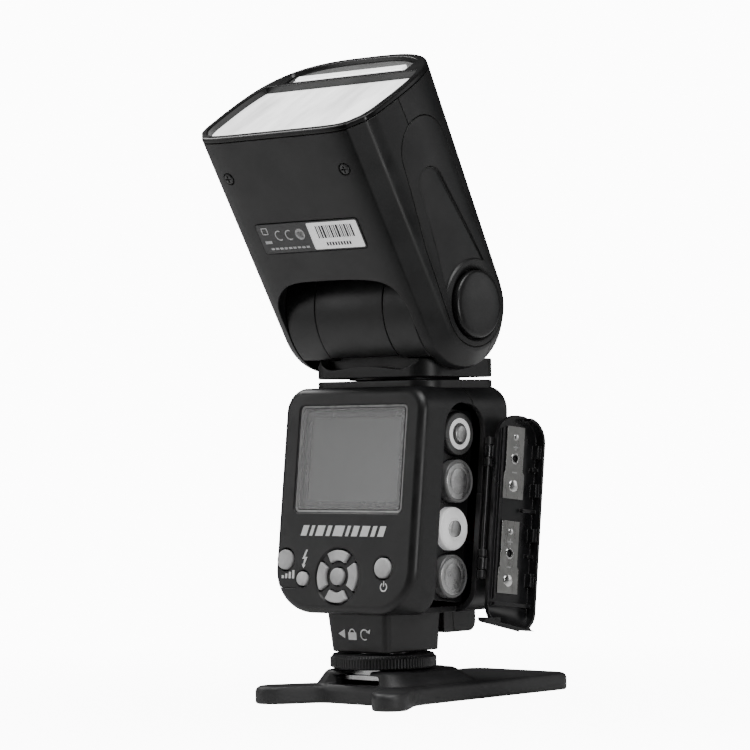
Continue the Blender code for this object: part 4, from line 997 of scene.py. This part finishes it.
def build_head_shells():
    cavity = layers([([(max(-32.3, min(32.3, x)), v) for x, v in head_section(1.8, w)], w)
                     for w in (25.5, 82)])
    mouth = layers([(head_section(1.1, w), w) for w in (67.6, HEAD_TOP, 82)])
    fork = [(-FORK_HALF, -40), (FORK_HALF, -40)] + smooth_line([
        (FORK_HALF, 10.5), (27.6, 16.5), (23.6, 20.6), (17.5, 22.2), (8, 22.9),
        (-4, FORK_TOP), (-14, 22.7), (-20.5, 21.2), (-25.6, 17.6), (-28.2, 13.4),
        (-FORK_HALF, 9.0)], 6)
    cuts = [cavity, mouth, prism(fork, -60, 60, 1),
            box(0.03 - FORK_HALF, FORK_HALF - 0.03, -18.5, 18.5, -40, FORK_TOP - 0.6),
            box(-24.8, 24.8, 16, 24.4, 41, 82), rod(4.08, -50, 50, (0, 0), 0),
            prism(cover_outline(GAP), COVER_X - GAP, 45, 0),
            prism(cover_outline(GAP), -45, GAP - COVER_X, 0)]
    for name, v0, v1 in (("head_lower_shell", 0.35, 60), ("head_upper_shell", -60, 0.65)):
        shell = cut(make(name + "_fine", head_outer(), HEAD), *cuts, place=HEAD)
        cut(shell, box(-60, 60, v0, v1, -60, 120), place=HEAD)
        if name == "head_lower_shell":
            pocket = layers([(around(LABEL_LO, LABEL_HI, g, 1.3, 2), v) for g, v in (
                (GAP, -21.7), (GAP, -21.95), (0.45, -22.12), (0.5, -30))], 1)
            seats = [lathe([(2.2, -21.0), (2.2, -21.8), (2.7, -22.12), (2.7, -30)],
                           middle(n, HEAD).xz, 1) for n in SCREWS]
            cut(shell, pocket, *seats, place=HEAD)
        twin(name, shell, "shell", "head", angle=28)


def build_covers():
    for side, name in ((1, "side_cover_right"), (-1, "side_cover_left")):
        lo, hi = sorted((side * COVER_X, side * 45))
        cover = combine(make(name + "_fine", head_outer(), HEAD),
                        [prism(cover_outline(0), lo, hi, 0)], "INTERSECT", HEAD)
        levels = [(recess_outline(g), side * x) for g, x in
                  ((-0.5, 37.2), (0.0, 37.35), (0.7, 38.6), (0.7, 45))]
        ring = [(11.6, side * 30), (11.6, side * 37.0), (13.6, side * 38.3),
                (14.0, side * 38.7), (14.0, side * 45)]
        cut(cover, layers(levels, 0), lathe(ring, (0, 0), 0, 120), place=HEAD)
        twin(name, cover, "shell", "head", angle=28)
        cap_name = name.replace("side_cover", "hinge_cap")
        prof = [(11.2, 36.9), (11.2, 38.45), (11.05, 38.8), (10.7, 39.1), (10.2, 39.3),
                (9.2, 39.5), (6, 39.68), (0.02, 39.8)]
        cap = lathe([(r, side * x) for r, x in prof], (0, 0), 0, 120)
        twin(cap_name, cap, "cap", "head", HEAD)


def build_label():
    lo, hi = LABEL_LO, LABEL_HI
    face = frame_at(HEAD @ Vector((0, lo.y, 0)), X, HEAD_W, -HEAD_V)
    plate = layers([(around(lo, hi, g, 1.0, 2), v) for g, v in (
        (0, lo.y - hi.y), (0, -0.05), (-0.08, 0))])
    twin("rating_label", plate, "label", "head", face, "rating_label")
    mid = (lo.z + hi.z) / 2
    edge = 0.2
    sticker = rounded(edge, hi.x - 0.5, lo.z + 0.5, hi.z - 0.5, 0.5)
    print_on("label_sticker", [sticker], face, "head", "sticker", 0.03, -0.01)
    widths = (0.5, 0.25, 0.7, 0.9, 0.25, 0.4, 0.25, 0.7, 0.3, 0.5, 0.9, 0.25, 0.5, 0.3, 0.8, 0.4,
              0.25, 0.7)
    bars = bar_row(widths, 0.42, edge + 3.4, mid + 1.4, 4.6)
    bars += [bar(edge + 6.2 + 1.25 * k, mid - 3.1, 0.75, 1.3) for k in range(9)]
    print_on("label_bars", bars, face, "head", "ink_black", 0.05, 0.0)
    marks = [bar(lo.x + dx, mid + dy, w, h) for dx, dy, w, h in (
        (3.3, 1.8, 2.6, 0.35), (3.3, 4.0, 2.6, 0.35), (2.1, 2.9, 0.35, 2.4),
        (4.5, 2.9, 0.35, 2.4), (3.3, -1.2, 3.0, 1.0))]
    marks += [ring_band(lo.x + 18.6, mid + 1.1, r, 0.4) for r in (2.0, 1.0)]
    marks += [ring_band(lo.x + dx, mid + 1.1, 1.9, 0.45, 60, 300, 18) for dx in (9.2, 13.8)]
    marks += [bar(lo.x + 4.0 + 2.0 * k, mid - 3.7, 1.4, 0.7) for k in range(9)]
    print_on("label_marks", marks, face, "head", "ink", 0.03, -0.01)


def build_screws():
    for name in SCREWS:
        lo, hi = span(name, HEAD)
        c = middle(name, HEAD).xz
        r = (hi.x - lo.x) / 2
        prof = [(r, hi.y), (r, lo.y + 0.3), (r - 0.15, lo.y + 0.1), (r - 0.5, lo.y), (0.02, lo.y)]
        screw = make(name + "_fine", lathe(prof, c, 1, 48), HEAD)
        cut(screw, *[box(c[0] - a, c[0] + a, -24, lo.y + 0.5, c[1] - b, c[1] + b)
                     for a, b in ((1.3, 0.28), (0.28, 1.3))], place=HEAD)
        twin(name, screw, "screw", "head", slot="head_screw")


def slot_outline(inset_by, low, half):
    """The part of the rim's opening behind the lens, with straight ends."""
    return [(max(-half, min(half, x)), max(v, low)) for x, v in back_half(inset_by, HEAD_TOP)]


def build_lens_end():
    top = HEAD_TOP
    levels = [(1.4, 69.1), (1.4, top + GAP), (0.15, top + GAP), (0.0, top + 0.45),
              (0.0, RIM_TOP - 0.7), (0.1, RIM_TOP - 0.35), (0.35, RIM_TOP - 0.12),
              (0.75, RIM_TOP)]
    bezel = make("lens_bezel_fine", layers([(head_section(g, w), w) for g, w in levels]), HEAD)
    lens_lo, lens_hi = span("front_lens", HEAD)
    edge = lens_hi.y + GAP

    def mouth(g):
        return clip(head_section(g, top), edge)
    cut(bezel, layers([(mouth(g), w) for g, w in (
            (2.3, 60), (2.3, RIM_TOP - 0.5), (2.0, RIM_TOP + 0.05), (2.0, 90))]),
        layers([(slot_outline(g, 18.9, half), w) for g, half, w in (
            (3.2, 27.5, 60), (3.2, 27.5, RIM_TOP - 0.9), (2.3, 28.4, RIM_TOP + 0.05),
            (2.3, 28.4, 90))]), place=HEAD)
    twin("lens_bezel", bezel, "bezel", "head", slot="lens_bezel", angle=28)
    lens = prism(clip(head_section(2.6, top), lens_hi.y), lens_lo.z, lens_hi.z)
    twin("front_lens", lens, "lens", "head", HEAD, "front_lens")
    wall = layers([(slot_outline(g, low, half), w) for g, low, half, w in (
        (3.35, 19.05, 27.35, 66), (3.35, 19.05, 27.35, RIM_TOP - 1.3),
        (3.9, 19.4, 26.9, RIM_TOP - 1.3), (3.9, 19.4, 26.9, 66))], hollow=True)
    finish(make("slot_liner", wall, HEAD), "liner", "head")
    for name, mat in (("wide_panel", "wide"), ("bounce_card", "card")):
        refine(name, mat, name, name, 0.25)


def build_lamp():
    for name, mat, body, slot in (
            ("reflector", "reflector", "zoom_lamp", "reflector"),
            ("flash_tube", "tube", "zoom_lamp", "flash_tube"),
            ("zoom_carriage", "cage", "zoom_lamp", "cage"),
            ("lead_screw", "steel", "lead_screw", "steel"),
            ("guide_rod", "steel", "head", "steel"), ("zoom_motor", "steel", "head", "steel")):
        refine(name, mat, body, slot, 0.2)


# ---- studio
def area_light(name, place, target, size, power):
    data = bpy.data.lights.new(name, "AREA")
    data.shape, data.size, data.size_y = "RECTANGLE", *size
    data.energy = power
    light = bpy.data.objects.new(name, data)
    light.location = place
    light.rotation_euler = (Vector(target) - Vector(place)).to_track_quat("-Z", "Y").to_euler()
    light.visible_camera = False
    bpy.context.scene.collection.objects.link(light)


BACKDROP = 12.0                 # what the camera sees behind the part
WHITE = (1, 1, 1, 1)
NEAR_SIDE = (0.67, -0.74, 0)    # from the part towards the rest view's camera


def camera_only(tree, seen, unseen, share=1.0):
    """Blend two shaders: one for what the camera sees, one for what light meets."""
    camera_ray = node(tree, "LightPath").outputs["Is Camera Ray"]
    scale = node(tree, "Math", operation="MULTIPLY")
    plug(scale.inputs[0], camera_ray)
    plug(scale.inputs[1], share)
    mix = node(tree, "MixShader")
    for socket, part in zip(mix.inputs, (scale, unseen, seen)):
        plug(socket, part.outputs[0])
    return mix.outputs[0]


def build_studio():
    world = bpy.data.worlds.new("studio")
    bpy.context.scene.world = world
    world.use_nodes = True
    tree = world.node_tree
    seen, unseen = (node(tree, "Background", Color=WHITE, Strength=strength)
                    for strength in (BACKDROP, 0.04))
    plug(tree.nodes["World Output"].inputs["Surface"], camera_only(tree, seen, unseen))

    floor = make("studio_floor", box(-6000, 6000, -6000, 6000, -30, -0.02))
    mat, tree, shader = new_material("studio_floor")
    toward = node(tree, "VectorMath", operation="DOT_PRODUCT")
    away = node(tree, "VectorMath", operation="LENGTH")
    for measure in (toward, away):
        plug(measure.inputs[0], node(tree, "TexCoord").outputs["Object"])
    plug(toward.inputs[1], NEAR_SIDE)
    near = spread(tree, toward.outputs["Value"], 0, 1, 0.02, 0.16)
    fill(shader, Base_Color=tint(tree, near, (0.85, 0.85, 0.85), (0.02, 0.02, 0.02)),
         Roughness=spread(tree, noise(tree, 30, 3), 0.55, 0.65))
    glow = node(tree, "Emission", Color=WHITE, Strength=BACKDROP)
    fade = spread(tree, away.outputs["Value"], 0.86, 1.0, 0.04, 0.3)
    plug(tree.nodes["Material Output"].inputs["Surface"], camera_only(tree, glow, shader, fade))
    floor.data.materials.append(mat)

    for name, place, size, power in (
            ("top_box", (0.35, -0.35, 1.15), (0.8, 0.8), 14.0),
            ("edge_box", (-0.85, -0.05, 1.0), (0.4, 0.4), 6.0),
            ("left_box", (-1.0, -0.9, 0.5), (0.45, 0.8), 2.8),
            ("right_box", (0.9, 1.0, 0.45), (0.4, 0.8), 1.5)):
        area_light(name, place, (0.0, 0.0, 0.12), size, power)
    area_light("bay_light", (0.30, -0.08, 0.10), (0.03, 0.0, 0.065), (0.06, 0.12), 0.25)


def build_camera():
    yaw, pitch, roll = 0.7324, 0.0166, -0.0141
    ahead = Vector((-math.sin(yaw) * math.cos(pitch), math.cos(yaw) * math.cos(pitch),
                    math.sin(pitch)))
    right = ahead.cross(Vector((0, 0, 1))).normalized()
    up = right.cross(ahead)
    r2 = math.cos(roll) * right + math.sin(roll) * up
    u2 = -math.sin(roll) * right + math.cos(roll) * up
    data = bpy.data.cameras.new("camera")
    data.lens, data.sensor_width = 155.0, 36.0
    camera = bpy.data.objects.new("camera", data)
    camera.matrix_world = frame_at(Vector((0.7239, -0.8072, 0.0914)), r2, u2, -ahead)
    bpy.context.scene.collection.objects.link(camera)
    bpy.context.scene.camera = camera


build_camera()
build_studio()
build_stand()
build_foot()
build_ring()
build_shells()
build_panel_parts()
build_keys()
build_prints()
build_cells()
build_door()
build_neck()
build_head_shells()
build_covers()
build_label()
build_screws()
build_lens_end()
build_lamp()
